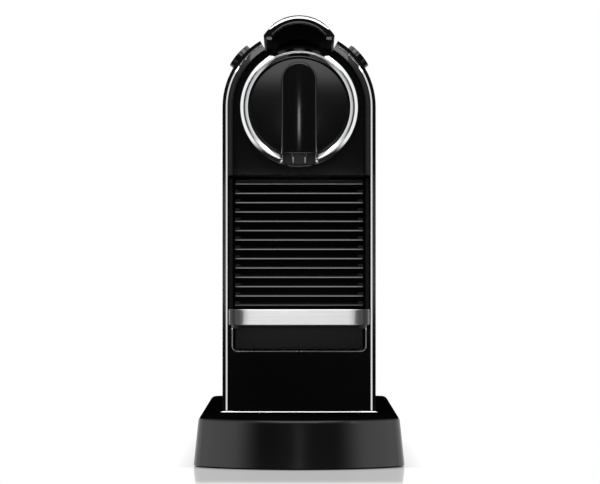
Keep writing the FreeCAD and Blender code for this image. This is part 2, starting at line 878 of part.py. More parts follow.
def make_spout():
    back = "(%s-fit_gap)" % DISC_FACE
    side = "(%s-spout_side)" % back
    bulge = "(spout_proud-spout_side)"
    bow = "((spout_half^2+%s^2)/(2*%s))" % (bulge, bulge)
    bow_y = "(%s-spout_proud+%s)" % (back, bow)
    section = new_body("spout_section")
    pad(section, "z", "spout_bottom", "spout_top", [
        ("spout_half", back), ("-spout_half", back), ("-spout_half", side, "0", bow_y, 1),
        ("spout_half", side)])
    front = new_body("spout_outline")
    crown = "spout_top-spout_half"
    pad(front, "y", "-2*shell_front", "0", [
        ("-spout_half", "spout_bottom"), ("spout_half", "spout_bottom"),
        ("spout_half", crown, "0", crown, 1), ("-spout_half", crown)])
    whole = common("spout_whole", section, front)
    hollow = block("spout_hollow", "-(nozzle_half+part_gap)", "nozzle_half+part_gap",
                   "%s-nozzle_set-nozzle_deep-part_gap" % back, back + "+1",
                   "nozzle_low", "duct_height+duct_radius+part_gap")
    node("spout_cover", cut("spout_cover", whole, hollow))


def make_outlet_nozzle():
    rear = "(%s-fit_gap-nozzle_set)" % DISC_FACE
    tip = "(%s-nozzle_deep)" % rear
    top = "duct_height+duct_radius"
    head = new_body("nozzle_head")
    pad(head, "z", "nozzle_low", top, rounded("-nozzle_half", tip, "nozzle_half", rear, "nozzle_jet"))
    tube = rod("nozzle_tube", "y", "duct_radius", rear + "-1", "-frame_front", ("0", "duct_height"))
    bore = rod("nozzle_bore", "y", "duct_bore", rear + "-1", "-frame_front", ("0", "duct_height"))
    jets = [rod("nozzle_jet_" + name, "z", "nozzle_jet", "nozzle_low", "duct_height",
                (sign + "nozzle_half/2", "%s-nozzle_deep/2" % rear))
            for name, sign in (("r", ""), ("l", "-"))]
    solid = fuse("nozzle_solid", head, tube)
    node("outlet_nozzle", cut("outlet_nozzle", solid, fuse("nozzle_bores", bore, *jets)))


def make_head_floor():
    body = new_body("head_floor")
    half = "(%s-fit_gap)" % SHELL_IN
    pad(body, "z", "head_bottom", HEAD_FLOOR,
        rectangle("-" + half, PANEL_FACE + "+panel_thick", half, "wall_place"))
    pocket(body, "z", "head_bottom", HEAD_FLOOR,
           rectangle("-chute_half", "-chute_front", "chute_half", "-chute_rear"))
    low = "(%s-floor_thick/2)" % HEAD_FLOOR
    pad(body, "x", "-chute_half", "chute_half", [
        ("-chute_front", low), ("-chute_front", HEAD_FLOOR),
        ("-chute_front-chute_run", HEAD_FLOOR + "+chute_rise"),
        ("-chute_front-chute_run", low)])
    node("head_floor", body)


# Lever
CAP_BOW = "((cap_half^2+(cap_top-cap_corner)^2)/(2*(cap_top-cap_corner)))"
DRUM = "(cap_top-cap_fall-axle_height)"


def cap_fall_at(place):
    """How far the lever's back has come down at a place along the machine."""
    return "(cap_fall*((%s)+lip_reach)/(axle_place+lip_reach))" % place


def lever_outline(place):
    """The lever seen from the front: a bowed cap that stands over a narrower neck."""
    fall = cap_fall_at(place)
    corner, centre, low = "cap_corner-" + fall, "cap_top-%s-%s" % (fall, CAP_BOW), "axle_height-hub_radius"
    return [
        ("-lever_half", low), ("lever_half", low), ("lever_half", corner),
        ("cap_half", corner, "0", centre, 1), ("-cap_half", corner), ("-lever_half", corner)]


def lever_hollow(place):
    """The space for the fingers under the cap."""
    centre = "(cap_top-%s-%s)" % (cap_fall_at(place), CAP_BOW)
    half, low = "(lever_half-lever_wall)", "axle_height-2*hub_radius"
    side = "%s+sqrt((%s-cap_thick)^2-%s^2)" % (centre, CAP_BOW, half)
    return [("-" + half, low), (half, low), (half, side, "0", centre, 1), ("-" + half, side)]


def loft(name, outline, front, rear):
    """A body drawn out between the same outline at two places along the machine."""
    body = new_body(name)
    first = new_sketch(body, "y", front, [outline(front)])
    second = new_sketch(body, "y", rear, [outline(rear)])
    feature = body.newObject("PartDesign::AdditiveLoft", "loft")
    feature.Profile = first
    feature.Sections = [second]
    feature.Ruled = True
    return body


def about_axle(radius, angle):
    """The point at a radius and an angle about the lever's axle, seen from the right."""
    return ("axle_place+(%s)*cos(%s)" % (radius, angle), "axle_height+(%s)*sin(%s)" % (radius, angle))


def make_lever():
    axle = ("axle_place", "axle_height")
    skin = loft("lever_skin", lever_outline, "-lip_reach", "axle_place+" + DRUM)
    side = new_body("lever_side")
    neck = "-(shell_front+shell_wall)"
    pad(side, "x", "-cap_half", "cap_half", [
        ("-lip_reach", "lip_low"), ("-lip_reach", "cap_top+shell_wall"),
        about_axle(DRUM, "90") + axle + (-1,), about_axle(DRUM, "drum_end"),
        about_axle("hub_radius", "drum_end") + axle + (-1,), about_axle("hub_radius", "180"),
        (neck, "neck_low"), (neck, "lip_low")])
    hollow = loft("lever_hollow", lever_hollow, "-(lip_reach+1)", "axle_place")
    half = "(lever_half-lever_wall)"
    drum = rod("lever_drum", "x", DRUM + "-cap_thick", "-" + half, half, axle)
    bore = rod("lever_bore", "x", "pivot_radius+fit_gap", "-cap_half", "cap_half", axle)
    solid = common("lever_solid", skin, side)
    shell = cut("lever_shell", solid, fuse("lever_spaces", hollow, drum, bore))
    knobs = [rod("lever_knob_" + name, "y", "knob_radius", "-shell_front", "knob_long-shell_front",
                 (sign + "knob_place", "knob_height")) for name, sign in (("r", ""), ("l", "-"))]
    node("lever_body", fuse("lever_body", shell, *knobs))
    edge = new_body("lever_trim")
    centre, inner = "(cap_top-%s)" % CAP_BOW, "(%s-edge_thick)" % CAP_BOW
    ends = {}
    for name, radius in (("out", CAP_BOW), ("in", inner)):
        for sign in ("", "-"):
            ends[name + sign] = ("%s%s*sin(edge_angle)" % (sign, radius),
                                 "%s+%s*cos(edge_angle)" % (centre, radius))
    pad(edge, "y", "-(lip_reach+edge_proud)", "-lip_reach", [
        ends["out"] + ("0", centre, 1), ends["out-"], ends["in-"] + ("0", centre, -1), ends["in"]])
    node("lever_trim", edge)


# Gears. The sector on the lever turns an idler, and the idler drives a rack on the brew chamber.
SECTOR = "(tooth_module*sector_teeth/2)"
IDLER = "(tooth_module*idler_teeth/2)"
IDLER_Z = "(axle_height-%s-%s)" % (SECTOR, IDLER)
RACK_Z = "(%s-%s)" % (IDLER_Z, IDLER)
TOOTH_PITCH = "(pi*tooth_module)"
FLANK_STEPS = 4


def tooth_flank(teeth):
    """Half angles of an involute tooth at a few radii, from its root to its tip."""
    pitch = number("tooth_module") * teeth / 2
    slope = math.radians(number("tooth_angle"))
    base = pitch * math.cos(slope)
    root, tip = pitch - number("tooth_root"), pitch + number("tooth_tip")
    middle = math.pi / (2 * teeth) - number("backlash") / (2 * pitch) + math.tan(slope) - slope
    low = max(base, root)
    flank = [] if root >= base else [(root, middle)]
    for step in range(FLANK_STEPS + 1):
        radius = low + (tip - low) * step / FLANK_STEPS
        roll = math.acos(min(1.0, base / radius))
        flank.append((radius, middle - math.tan(roll) + roll))
    return flank


def gear_edges(teeth, angles, centre):
    """The edges of a row of involute teeth whose middles stand at given angles."""
    flank = tooth_flank(teeth)

    def point(radius, angle):
        return centre + V(0, radius * math.cos(angle), radius * math.sin(angle))

    edges = []
    for place, angle in enumerate(angles):
        rising = [point(radius, angle - half) for radius, half in flank]
        falling = [point(radius, angle + half) for radius, half in reversed(flank)]
        if place:
            gap = (angles[place - 1] + angle) / 2
            edges.append(Part.Arc(last, point(flank[0][0], gap), rising[0]).toShape())
        for run in (rising, falling):
            if len(run) > FLANK_STEPS + 1:
                straight = run[:2] if run is rising else run[-2:]
                curved = run[1:] if run is rising else run[:-1]
            else:
                straight, curved = None, run
            curve = Part.BSplineCurve()
            curve.interpolate(curved)
            pieces = [curve.toShape()]
            if straight:
                line = Part.LineSegment(*straight).toShape()
                pieces = [line] + pieces if run is rising else pieces + [line]
            edges.extend(pieces)
            if run is rising:
                edges.append(Part.Arc(rising[-1], point(flank[-1][0], angle), falling[0]).toShape())
        last = falling[-1]
    return edges


def formed(name, shape):
    """A piece whose shape is worked out from the sheet by a rule."""
    piece = doc.addObject("Part::Feature", name)
    piece.Shape = shape
    return piece


def make_sector_gears():
    teeth = int(number("sector_teeth"))
    centre = V(number("gear_inner"), number("axle_place"), number("axle_height"))
    turn = 2 * math.pi / teeth
    rows = range(-int(number("sector_ahead")), int(number("sector_behind")) + 1)
    edges = gear_edges(teeth, [turn * row - math.pi / 2 for row in rows], centre)
    first, last = edges[0].firstVertex().Point, edges[-1].lastVertex().Point
    edges.append(Part.LineSegment(last, centre).toShape())
    edges.append(Part.LineSegment(centre, first).toShape())
    plate = Part.Face(Part.Wire(edges)).extrude(V(number("gear_thick"), 0, 0))
    web = formed("sector_web", plate)
    hub = rod("sector_hub", "x", "hub_radius", "lever_half", "gear_inner+gear_thick",
              ("axle_place", "axle_height"))
    bore = rod("sector_bore", "x", "pivot_radius+fit_gap", "lever_half-1", "gear_inner+gear_thick+1",
               ("axle_place", "axle_height"))
    pair("sector_gear", cut("right_sector_gear", fuse("sector_solid", web, hub), bore))


def make_idler_gears():
    teeth = int(number("idler_teeth"))
    centre = V(number("gear_inner"), number("axle_place"), number(IDLER_Z))
    turn = 2 * math.pi / teeth
    edges = gear_edges(teeth, [math.pi / 2 + turn * (row + 0.5) for row in range(teeth)], centre)
    root = number(IDLER) - number("tooth_root")
    gap = centre + V(0, 0, root)
    edges.append(Part.Arc(edges[-1].lastVertex().Point, gap, edges[0].firstVertex().Point).toShape())
    wheel = formed("idler_wheel", Part.Face(Part.Wire(edges)).extrude(V(number("gear_thick"), 0, 0)))
    bore = rod("idler_bore", "x", "idler_pin+fit_gap", "gear_inner-1", "gear_inner+gear_thick+1",
               ("axle_place", IDLER_Z))
    pair("idler_gear", cut("right_idler_gear", wheel, bore))


def make_racks():
    body = new_body("right_rack")
    low, root = "%s-tooth_root-rack_base" % RACK_Z, "(%s-tooth_root)" % RACK_Z
    start = "(axle_place-rack_ahead*%s)" % TOOTH_PITCH
    end = "(axle_place+rack_behind*%s)" % TOOTH_PITCH
    inner, outer = "gear_inner", "gear_inner+gear_thick"
    pad(body, "x", inner, outer, rectangle(start, low, end, root))
    middle = "(%s+%s/2)" % (start, TOOTH_PITCH)
    half = "(%s/4-backlash/2)" % TOOTH_PITCH
    foot, crest = half + "+tooth_root*tan(tooth_angle)", half + "-tooth_tip*tan(tooth_angle)"
    tooth = pad(body, "x", inner, outer, [
        ("%s-(%s)" % (middle, foot), root), ("%s+%s" % (middle, foot), root),
        ("%s+%s" % (middle, crest), RACK_Z + "+tooth_tip"),
        ("%s-(%s)" % (middle, crest), RACK_Z + "+tooth_tip")])
    repeat(body, [tooth], "y", "(rack_ahead+rack_behind-1)*" + TOOTH_PITCH, "rack_ahead+rack_behind")
    pair("rack", body)


def make_gear_pins():
    end = "frame_inner+frame_wall"
    axle, idler = ("axle_place", "axle_height"), ("axle_place", IDLER_Z)
    pivots, pins = [], []
    for name, sign in (("r", 1), ("l", -1)):
        spans = (("lever_half-lever_wall", end), ("gear_inner-2*part_gap", end))
        if sign < 0:
            spans = [("-(%s)" % high, "-(%s)" % low) for low, high in spans]
        pivots.append(rod("pivot_" + name, "x", "pivot_radius", *spans[0], axle))
        pins.append(rod("idler_pin_" + name, "x", "idler_pin", *spans[1], idler))
    node("lever_pivots", group("lever_pivots", *pivots))
    node("idler_pins", group("idler_pins", *pins))


# Brew unit
WING_TOP = "(%s-tooth_root-rack_base)" % RACK_Z
RAIL_TOP = "(%s-wing_thick-part_gap)" % WING_TOP


def make_brew_chamber():
    body = new_body("brew_chamber")
    front, rear = "-chamber_front", "(chamber_deep-chamber_front)"
    floor, bore = "(%s-chamber_collar)" % rear, "stem_radius/2"
    mouth = "(chamber_radius-chamber_wall)"
    turned(body, "y", ("0", "chamber_height"), "0", [
        (front, mouth), (front, "chamber_rim"), (front + "+chamber_collar", "chamber_rim"),
        (front + "+chamber_collar", "chamber_radius"), (rear, "chamber_radius"), (rear, "stem_radius"),
        ("-stem_end", "stem_radius"), ("-stem_end", bore), (floor, bore), (floor, mouth + "-chamber_taper")])
    wing = pad(body, "z", WING_TOP + "-wing_thick", WING_TOP, rectangle(
        "wing_inner", front + "+chamber_collar", "gear_inner+gear_thick",
        "axle_place+rack_behind*" + TOOTH_PITCH))
    mirror_features(body, [wing], "YZ_Plane")
    node("brew_chamber", body)
    disc = rod("needle_disc", "y", mouth + "-chamber_taper-fit_gap", floor + "-needle_disc", floor,
               ("0", "chamber_height"))
    needles = [disc]
    for step, angle in enumerate(("90", "210", "330")):
        needle = doc.addObject("Part::Cone", "needle_%d" % step)
        bind(needle, "Radius1", "needle_foot")
        bind(needle, "Radius2", "needle_tip")
        bind(needle, "Height", "needle_long")
        needle.Placement = FreeCAD.Placement(V(), FreeCAD.Rotation(V(1, 0, 0), 90))
        bind(needle, "Placement.Base.x", "needle_ring*cos(%s)" % angle)
        bind(needle, "Placement.Base.y", floor + "-needle_disc")
        bind(needle, "Placement.Base.z", "chamber_height+needle_ring*sin(%s)" % angle)
        needles.append(needle)
    eye = rod("needle_eye", "y", "stem_radius/2", floor + "-needle_disc", floor, ("0", "chamber_height"))
    node("needle_plate", cut("needle_plate", fuse("needle_solid", *needles), eye))
    seal = new_body("chamber_seal")
    turned(seal, "y", ("0", "chamber_height"), "0", rectangle(
        front + "-seal_thick", "seal_inner", front, "seal_outer"))
    node("chamber_seal", seal)


def make_brew_frame():
    body = new_body("brew_frame")
    outer = "frame_inner+frame_wall"
    pad(body, "y", "-frame_front", "front_wall-frame_front",
        rectangle("-(%s)" % outer, HEAD_FLOOR, outer, "front_wall_top"))
    plate = pad(body, "x", "frame_inner", outer, [
        ("-frame_front", HEAD_FLOOR), ("wall_place", HEAD_FLOOR), ("wall_place", "frame_rear"),
        ("-frame_slope", "frame_top"), ("-frame_step", "frame_top"), ("-frame_step", "frame_low"),
        ("-frame_front", "frame_low")])
    bosses = pad(body, "x", "frame_inner-frame_boss", "frame_inner+frame_wall/2",
                 circle("axle_place", "axle_height", "pivot_radius+boss_rim"),
                 circle("axle_place", IDLER_Z, "idler_pin+boss_rim"))
    rail = pad(body, "y", "-rail_front", "rail_rear",
               rectangle("rail_inner", RAIL_TOP + "-rail_high", "frame_inner+frame_wall/2", RAIL_TOP))
    holes = pocket(body, "x", "frame_inner-frame_boss", outer,
                   circle("axle_place", "axle_height", "pivot_radius+fit_gap"),
                   circle("axle_place", IDLER_Z, "idler_pin+fit_gap"))
    mirror_features(body, [plate, bosses, rail, holes], "YZ_Plane")
    pocket(body, "y", "-frame_front", "front_wall-frame_front",
           circle("0", "duct_height", "duct_bore"))
    node("brew_frame", body)


def make_extraction_plate():
    body = new_body("extraction_plate")
    face = "(front_wall-frame_front)"
    spots = [circle("plate_ring*cos(%d)" % angle, "chamber_height+plate_ring*sin(%d)" % angle, "plate_hole")
             for angle in range(0, 360, 60)]
    pad(body, "y", face, face + "+plate_thick", circle("0", "chamber_height", "plate_radius"), *spots)
    node("extraction_plate", body)


def make_inlet_sleeve():
    body = new_body("inlet_sleeve")
    turned(body, "y", ("0", "chamber_height"), "0", rectangle(
        "-sleeve_front", "stem_radius+fit_gap", "wall_place+wall_thick", "stem_radius+sleeve_wall"))
    node("inlet_sleeve", body)


# Buttons
FLANGE_TOP = "(sqrt(%s^2-(button_wide/2+button_lip)^2)-part_gap)" % SHELL_IN
SWITCH_TOP = "(%s-button_flange-button_stroke-part_gap)" % FLANGE_TOP


def make_buttons():
    form = new_body("button_form")
    shoulder_pad(form, FLANGE_TOP + "-button_flange", FLANGE_TOP,
                 slot("button_long/2+button_lip", "button_wide/2+button_lip"))
    shoulder_pad(form, FLANGE_TOP, "shell_half+2*button_proud", slot("button_long/2", "button_wide/2"))
    crown = rod("button_crown", "y", "shell_half+button_proud", "-shell_front", "0", ("0", "arch_height"))
    dimple = new_body("button_dimple")
    shoulder_pad(dimple, "shell_half+button_proud-dimple_deep", "shell_half+2*button_proud",
                 slot("dimple_long", "dimple_wide"))
    pair("button", cut("right_button", common("button_solid", form, crown), dimple))
    switch = new_body("right_switch")
    half = "(button_place-frame_front-fit_gap)"
    shoulder_pad(switch, SWITCH_TOP + "-switch_tall", SWITCH_TOP + "-switch_nib",
                 rectangle("-" + half, "-switch_half", half, "switch_half"))
    shoulder_pad(switch, SWITCH_TOP + "-2*switch_nib", SWITCH_TOP, circle("0", "0", "2*switch_nib"))
    pair("switch", switch)


# Drip tray, capsule container and cup support
MODULE_LOW = "(%s+part_gap)" % DECK
SHELF_LOW = "(shelf_height-shelf_thick)"
FASCIA_BACK = "(fascia_thick-shell_front)"


def make_drip_tray():
    body = new_body("drip_tray")
    pad(body, "z", MODULE_LOW, SHELF_LOW, rectangle("-module_half", FASCIA_BACK, "module_half", "tray_rear"))
    inner = "module_half-tray_wall"
    pocket(body, "z", MODULE_LOW + "+tray_wall", SHELF_LOW, rectangle(
        "-(%s)" % inner, FASCIA_BACK + "+tray_wall", inner, "tray_rear-tray_wall"))
    node("drip_tray", body)
    panel = new_body("lower_front_panel")
    half = "(%s-part_gap)" % PANEL
    bend, level = "(horn_half-horn_round)", "(shelf_height+horn_round)"
    face = pad(panel, "y", "-shell_front", FASCIA_BACK, [
        ("-" + half, MODULE_LOW), (half, MODULE_LOW), (half, "horn_top"), ("horn_half", "horn_top"),
        ("horn_half", level, bend, level, -1), (bend, "shelf_height"),
        ("-" + bend, "shelf_height", "-" + bend, level, -1), ("-horn_half", level),
        ("-horn_half", "horn_top"), ("-" + half, "horn_top")])
    front, low, high = number("-shell_front"), number("shelf_height"), number(level)
    soften(panel, face, "Chamfer", "edge_bevel", lambda box: box.YMax < front + 0.01
           and box.ZMin > low - 0.01 and box.ZMax < high + 0.01)
    node("lower_front_panel", panel)


def make_module_frame():
    body = new_body("module_frame")
    pad(body, "z", SHELF_LOW, "shelf_height",
        rectangle("-module_half", FASCIA_BACK, "module_half", "tray_rear"))
    pocket(body, "z", SHELF_LOW + "+shelf_ledge", "shelf_height",
           rectangle("-grate_half", "-grate_front", "grate_half", "-grate_rear"))
    pocket(body, "z", SHELF_LOW, SHELF_LOW + "+shelf_ledge", rectangle(
        "shelf_ledge-grate_half", "shelf_ledge-grate_front", "grate_half-shelf_ledge",
        "-grate_rear-shelf_ledge"))
    inner = "module_half-cheek_thick"
    cheek = pad(body, "x", inner, "module_half",
                rectangle("-cheek_front", SHELF_LOW, "-cheek_rear", "cheek_top"))
    low, high = "hinge_height-hinge_knuckle", "hinge_height+hinge_knuckle"
    root = "hinge_knuckle-cheek_front"
    lug = pad(body, "x", "hinge_lug", "module_half", [
        (root, low), ("-hinge_place", low, "-hinge_place", "hinge_height", -1), ("-hinge_place", high),
        (root, high)])
    pin = pad(body, "x", "hinge_lug-hinge_grip", "hinge_lug+hinge_grip",
              circle("-hinge_place", "hinge_height", "hinge_pin"))
    mirror_features(body, [cheek, lug, pin], "YZ_Plane")
    node("module_frame", body)


def slotted_plate(label, half, front, rear, low, high):
    """A plate with a row of slots across it."""
    body = new_body(label)
    pad(body, "z", low, high, rectangle("-(%s)" % half, front, half, rear))
    start = "(-grid_pitch*(grid_count-1)/2)"
    cuts = pocket(body, "z", low, high, rectangle(
        start + "-grid_slot/2", front + "+grid_edge", start + "+grid_slot/2", rear + "-grid_edge"))
    repeat(body, [cuts], "x", "grid_pitch*(grid_count-1)", "grid_count")
    node(label, body)


def make_drip_grid():
    slotted_plate("drip_grid", "(grate_half-fit_gap)", "fit_gap-grate_front", "-grate_rear-fit_gap",
                  "shelf_height-grid_thick", "shelf_height")


def make_capsule_container():
    body = new_body("capsule_container")
    pad(body, "z", "shelf_height", "bin_top", rectangle("-bin_half", "-bin_front", "bin_half", "bin_rear"))
    inner = "bin_half-bin_wall"
    pocket(body, "z", "shelf_height+bin_wall", "bin_top", rectangle(
        "-(%s)" % inner, "bin_wall-bin_front", inner, "bin_rear-bin_wall"))
    root, lip = "bin_wall/2-bin_front", "-(bin_front+rib_deep)"
    rib = pad(body, "x", "-bin_half", "bin_half", [
        (root, "rib_first-rib_tall"), ("-bin_front", "rib_first-rib_tall"), (lip, "rib_first-rib_lip"),
        (lip, "rib_first"), (root, "rib_first")])
    steps = []
    for low, high in (("bin_half-rib_step", "bin_half"), ("-bin_half", "rib_step-bin_half")):
        steps.append(pad(body, "x", low, high, rectangle(
            lip, "rib_first-rib_lip/2", root, "rib_first+rib_step_tall")))
    repeat(body, [rib] + steps, "z", "rib_pitch*(rib_count-1)", "rib_count")
    pocket(body, "y", "-bin_front", "grip_deep-bin_front",
           rounded("-grip_half", "grip_low", "grip_half", "grip_top", "grip_round"))
    node("capsule_container", body)


BAR_THICK = "(bar_half-support_half-fit_gap)"
SUPPORT_FRONT = "(bar_front-%s-fit_gap)" % BAR_THICK


def make_cup_support():
    tray = new_body("cup_support_tray")
    turn = "(bar_corner-%s-fit_gap)" % BAR_THICK
    side, nose = "(support_half-%s)" % turn, "(%s-%s)" % (turn, SUPPORT_FRONT)
    pad(tray, "z", "support_low", "support_top", [
        ("-support_half", "-support_rear"), ("-support_half", nose, "-" + side, nose, 1),
        ("-" + side, "-" + SUPPORT_FRONT), (side, "-" + SUPPORT_FRONT, side, nose, 1),
        ("support_half", nose), ("support_half", "-support_rear")])
    knuckle = "hinge_knuckle"
    pad(tray, "x", "-support_neck", "support_neck", [
        ("-support_rear-support_wall", "hinge_height-" + knuckle),
        ("-hinge_place", "hinge_height-" + knuckle, "-hinge_place", "hinge_height", 1),
        ("-hinge_place", "hinge_height+" + knuckle),
        ("-support_rear-support_wall", "hinge_height+" + knuckle)])
    edge = "support_half-support_wall"
    front, rear = "support_rim-" + SUPPORT_FRONT, "-support_rear-support_wall"
    pocket(tray, "z", "support_top-grid_thick", "support_top", rectangle("-(%s)" % edge, front, edge, rear))
    ledge = edge + "-support_wall"
    pocket(tray, "z", "support_low+support_wall", "support_top-grid_thick", rectangle(
        "-(%s)" % ledge, front + "+support_wall", ledge, rear + "-support_wall"))
    pocket(tray, "z", "support_low", "support_low+support_wall",
           rounded("-support_neck/2", "-support_rear-5*support_wall", "support_neck/2",
                   "-support_rear-3*support_wall", "support_wall/2"))
    seat = circle("-hinge_place", "hinge_height", "hinge_pin+fit_gap")
    bore = pocket(tray, "x", "hinge_lug-hinge_grip-part_gap", "support_neck", seat)
    mirror_features(tray, [bore], "YZ_Plane")
    node("cup_support_tray", tray)
    slotted_plate("cup_support_grid", "(support_half-support_wall-fit_gap)",
                  "(support_rim+fit_gap-%s)" % SUPPORT_FRONT, "(-support_rear-support_wall-fit_gap)",
                  "support_top-grid_thick", "support_top")
    bar = new_body("cup_support_bar")
    inner, bend, nose = "(bar_half-%s)" % BAR_THICK, "(bar_half-bar_corner)", "(bar_corner-bar_front)"
    back = "(%s-bar_front)" % BAR_THICK
    band = pad(bar, "z", "bar_low", "bar_top", [
        ("bar_half", "-bar_leg"), ("bar_half", nose, bend, nose, -1), (bend, "-bar_front"),
        ("-" + bend, "-bar_front", "-" + bend, nose, -1), ("-bar_half", nose), ("-bar_half", "-bar_leg"),
        ("-" + inner, "-bar_leg"), ("-" + inner, nose, "-" + bend, nose, 1), ("-" + bend, back),
        (bend, back, bend, nose, 1), (inner, nose), (inner, "-bar_leg")])
    tip = number("-bar_front")
    soften(bar, band, "Fillet", "bar_edge", lambda box: box.ZLength < 0.01 and box.YMin < tip + 0.01)
    node("cup_support_bar", bar)


# Water tank
LID_Y = "(tank_rear+lid_hinge_out)"
LID_Z = "(tank_rim+lid_hinge_up)"
LID_LOW = "(tank_rim+lid_gap)"


def tank_plan(name, inset, low, high):
    """The tank seen from above, with round corners at the back."""
    body = new_body(name)
    half, front, rear = "(tank_half-%s)" % inset, "tank_front+" + inset, "(tank_rear-%s)" % inset
    turn_x, turn_y = "(tank_half-tank_corner)", "(tank_rear-tank_corner)"
    pad(body, "z", low, high, [
        ("-" + half, front), (half, front), (half, turn_y, turn_x, turn_y, 1),
        (turn_x, rear), ("-" + turn_x, rear, "-" + turn_x, turn_y, 1), ("-" + half, turn_y)])
    return body


def tank_front(name, inset, low, high):
    """The tank seen from the front, cut off level inside the arch."""
    body = new_body(name)
    half = "(tank_half-%s)" % inset
    edge = "sqrt(%s^2-((%s)-arch_height)^2)" % (half, high)
    pad(body, "y", "shell_rear", "tail_reach", [
        ("-" + half, low), (half, low), (half, "arch_height", "0", "arch_height", 1),
        (edge, high), ("-" + edge, high, "0", "arch_height", 1), ("-" + half, "arch_height")])
    return body


def lid_front(name, inset, low):
    """The top of the arch above a level."""
    body = new_body(name)
    half = "(tank_half-%s)" % inset
    edge = "sqrt(%s^2-((%s)-arch_height)^2)" % (half, low)
    pad(body, "y", "shell_rear", "tail_reach", [(edge, low, "0", "arch_height", 1), ("-" + edge, low)])
    return body


def make_water_tank():
    hinge = (LID_Y, LID_Z)
    outer = common("tank_outer", tank_front("tank_outer_front", "0", "tank_floor", "tank_rim"),
                   tank_plan("tank_outer_plan", "0", "0", "tank_rim"))
    rise = "tank_rim+tank_wall"
    inner = common("tank_inner", tank_front("tank_inner_front", "tank_wall", "tank_floor+tank_wall", rise),
                   tank_plan("tank_inner_plan", "tank_wall", "0", rise))
    ears = []
    for name, low in (("r", "lid_knuckle_half+part_gap"), ("l", "-(lid_knuckle_half+part_gap+lid_ear)")):
        ear = new_body("tank_ear_" + name)
        wall, shoulder = "tank_rear-tank_wall/2", "tank_rim-tank_wall/2"
        pad(ear, "x", low, low + "+lid_ear", [
            (wall, "tank_rim-6*lid_ear"), (LID_Y + "+lid_knuckle", LID_Z, LID_Y, LID_Z, 1),
            (LID_Y + "-lid_knuckle", LID_Z), (LID_Y + "-lid_knuckle", shoulder), (wall, shoulder)])
        ears.append(ear)
    bore = rod("tank_ear_bore", "x", "lid_pin+fit_gap", "-tank_half", "tank_half", hinge)
    mouth = rod("tank_valve_mouth", "z", "valve_outer+fit_gap", "tank_floor-1", "tank_floor+tank_wall+1",
                ("0", "seat_place"))
    node("water_tank", cut("water_tank", fuse("tank_solid", outer, *ears),
                           fuse("tank_spaces", inner, bore, mouth)))
    dome = common("lid_outer", lid_front("lid_outer_front", "0", LID_LOW),
                  tank_plan("lid_outer_plan", "0", LID_LOW, "cap_top"))
    space = common("lid_inner", lid_front("lid_inner_front", "tank_wall", LID_LOW),
                   tank_plan("lid_inner_plan", "tank_wall", LID_LOW, "cap_top"))
    half = "lid_knuckle_half"
    knuckle = rod("lid_knuckle", "x", "lid_knuckle", "-" + half, half, hinge)
    reach = half + "+part_gap+lid_ear"
    pin = rod("lid_pin", "x", "lid_pin", "-(%s)" % reach, reach, hinge)
    web = block("lid_web", "-" + half, half, "tank_rear-tank_wall/2", LID_Y,
                LID_Z + "-lid_pin", LID_Z + "+lid_pin")
    node("tank_lid", fuse("tank_lid", cut("lid_shell", dome, space), knuckle, pin, web))


VALVE_TOP = "(tank_floor+valve_tall)"
PLUNGER_LOW = "(tank_floor+valve_ledge+plunger_lift)"
PLUNGER_TOP = "(%s+plunger_thick)" % PLUNGER_LOW


def make_tank_valve():
    body = new_body("tank_valve_body")
    roof = "(%s-valve_ledge)" % VALVE_TOP
    turned(body, "z", ("0", "0"), "seat_place", [
        ("valve_throat", "tank_floor"), ("valve_outer", "tank_floor"), ("valve_outer", VALVE_TOP),
        ("valve_eye", VALVE_TOP), ("valve_eye", roof), ("valve_bore", roof),
        ("valve_bore", "tank_floor+valve_ledge"), ("valve_throat", "tank_floor+valve_ledge")])
    node("tank_valve_body", body)
    plunger = new_body("tank_valve_plunger")
    turned(plunger, "z", ("0", "0"), "seat_place", [
        ("0", PLUNGER_LOW), ("plunger_radius", PLUNGER_LOW), ("plunger_radius", PLUNGER_TOP),
        ("plunger_stem", PLUNGER_TOP), ("plunger_stem", PLUNGER_LOW + "+plunger_tall"),
        ("0", PLUNGER_LOW + "+plunger_tall")])
    node("tank_valve_plunger", plunger)
    wire, ring = number("spring_wire"), number("spring_radius")
    low, high = number(PLUNGER_TOP) + wire, number(roof) - wire
    turns = number("spring_turns")
    path = Part.Wire(Part.makeHelix((high - low) / turns, high - low, ring))
    section = Part.Wire(Part.makeCircle(wire, V(ring, 0, 0), V(0, 1, 0)))
    coil = path.makePipeShell([section], True, True)
    spring = formed("valve_spring", coil)
    spring.Placement = FreeCAD.Placement(V(0, number("seat_place"), low), FreeCAD.Rotation())
    node("valve_spring", spring)
    seat = new_body("tank_seat")
    top, pin_top = "(plinth_top+seat_rise)", PLUNGER_LOW + "-part_gap"
    turned(seat, "z", ("0", "0"), "seat_place", [
        ("seat_bore", SPIGOT), ("hose_radius", SPIGOT), ("hose_radius", "plinth_top"),
        ("seat_radius", "plinth_top"), ("seat_radius", top), ("seat_pin", top),
        ("seat_pin", pin_top), ("seat_bore", pin_top)])
    node("tank_seat", seat)
    seal = doc.addObject("Part::Torus", "tank_seat_seal")
    bind(seal, "Radius1", "seal_ring")
    bind(seal, "Radius2", "seal_radius")
    bind(seal, "Placement.Base.y", "seat_place")
    bind(seal, "Placement.Base.z", top + "+seal_radius")
    node("tank_seat_seal", seal)


# Pump, heater and electrics

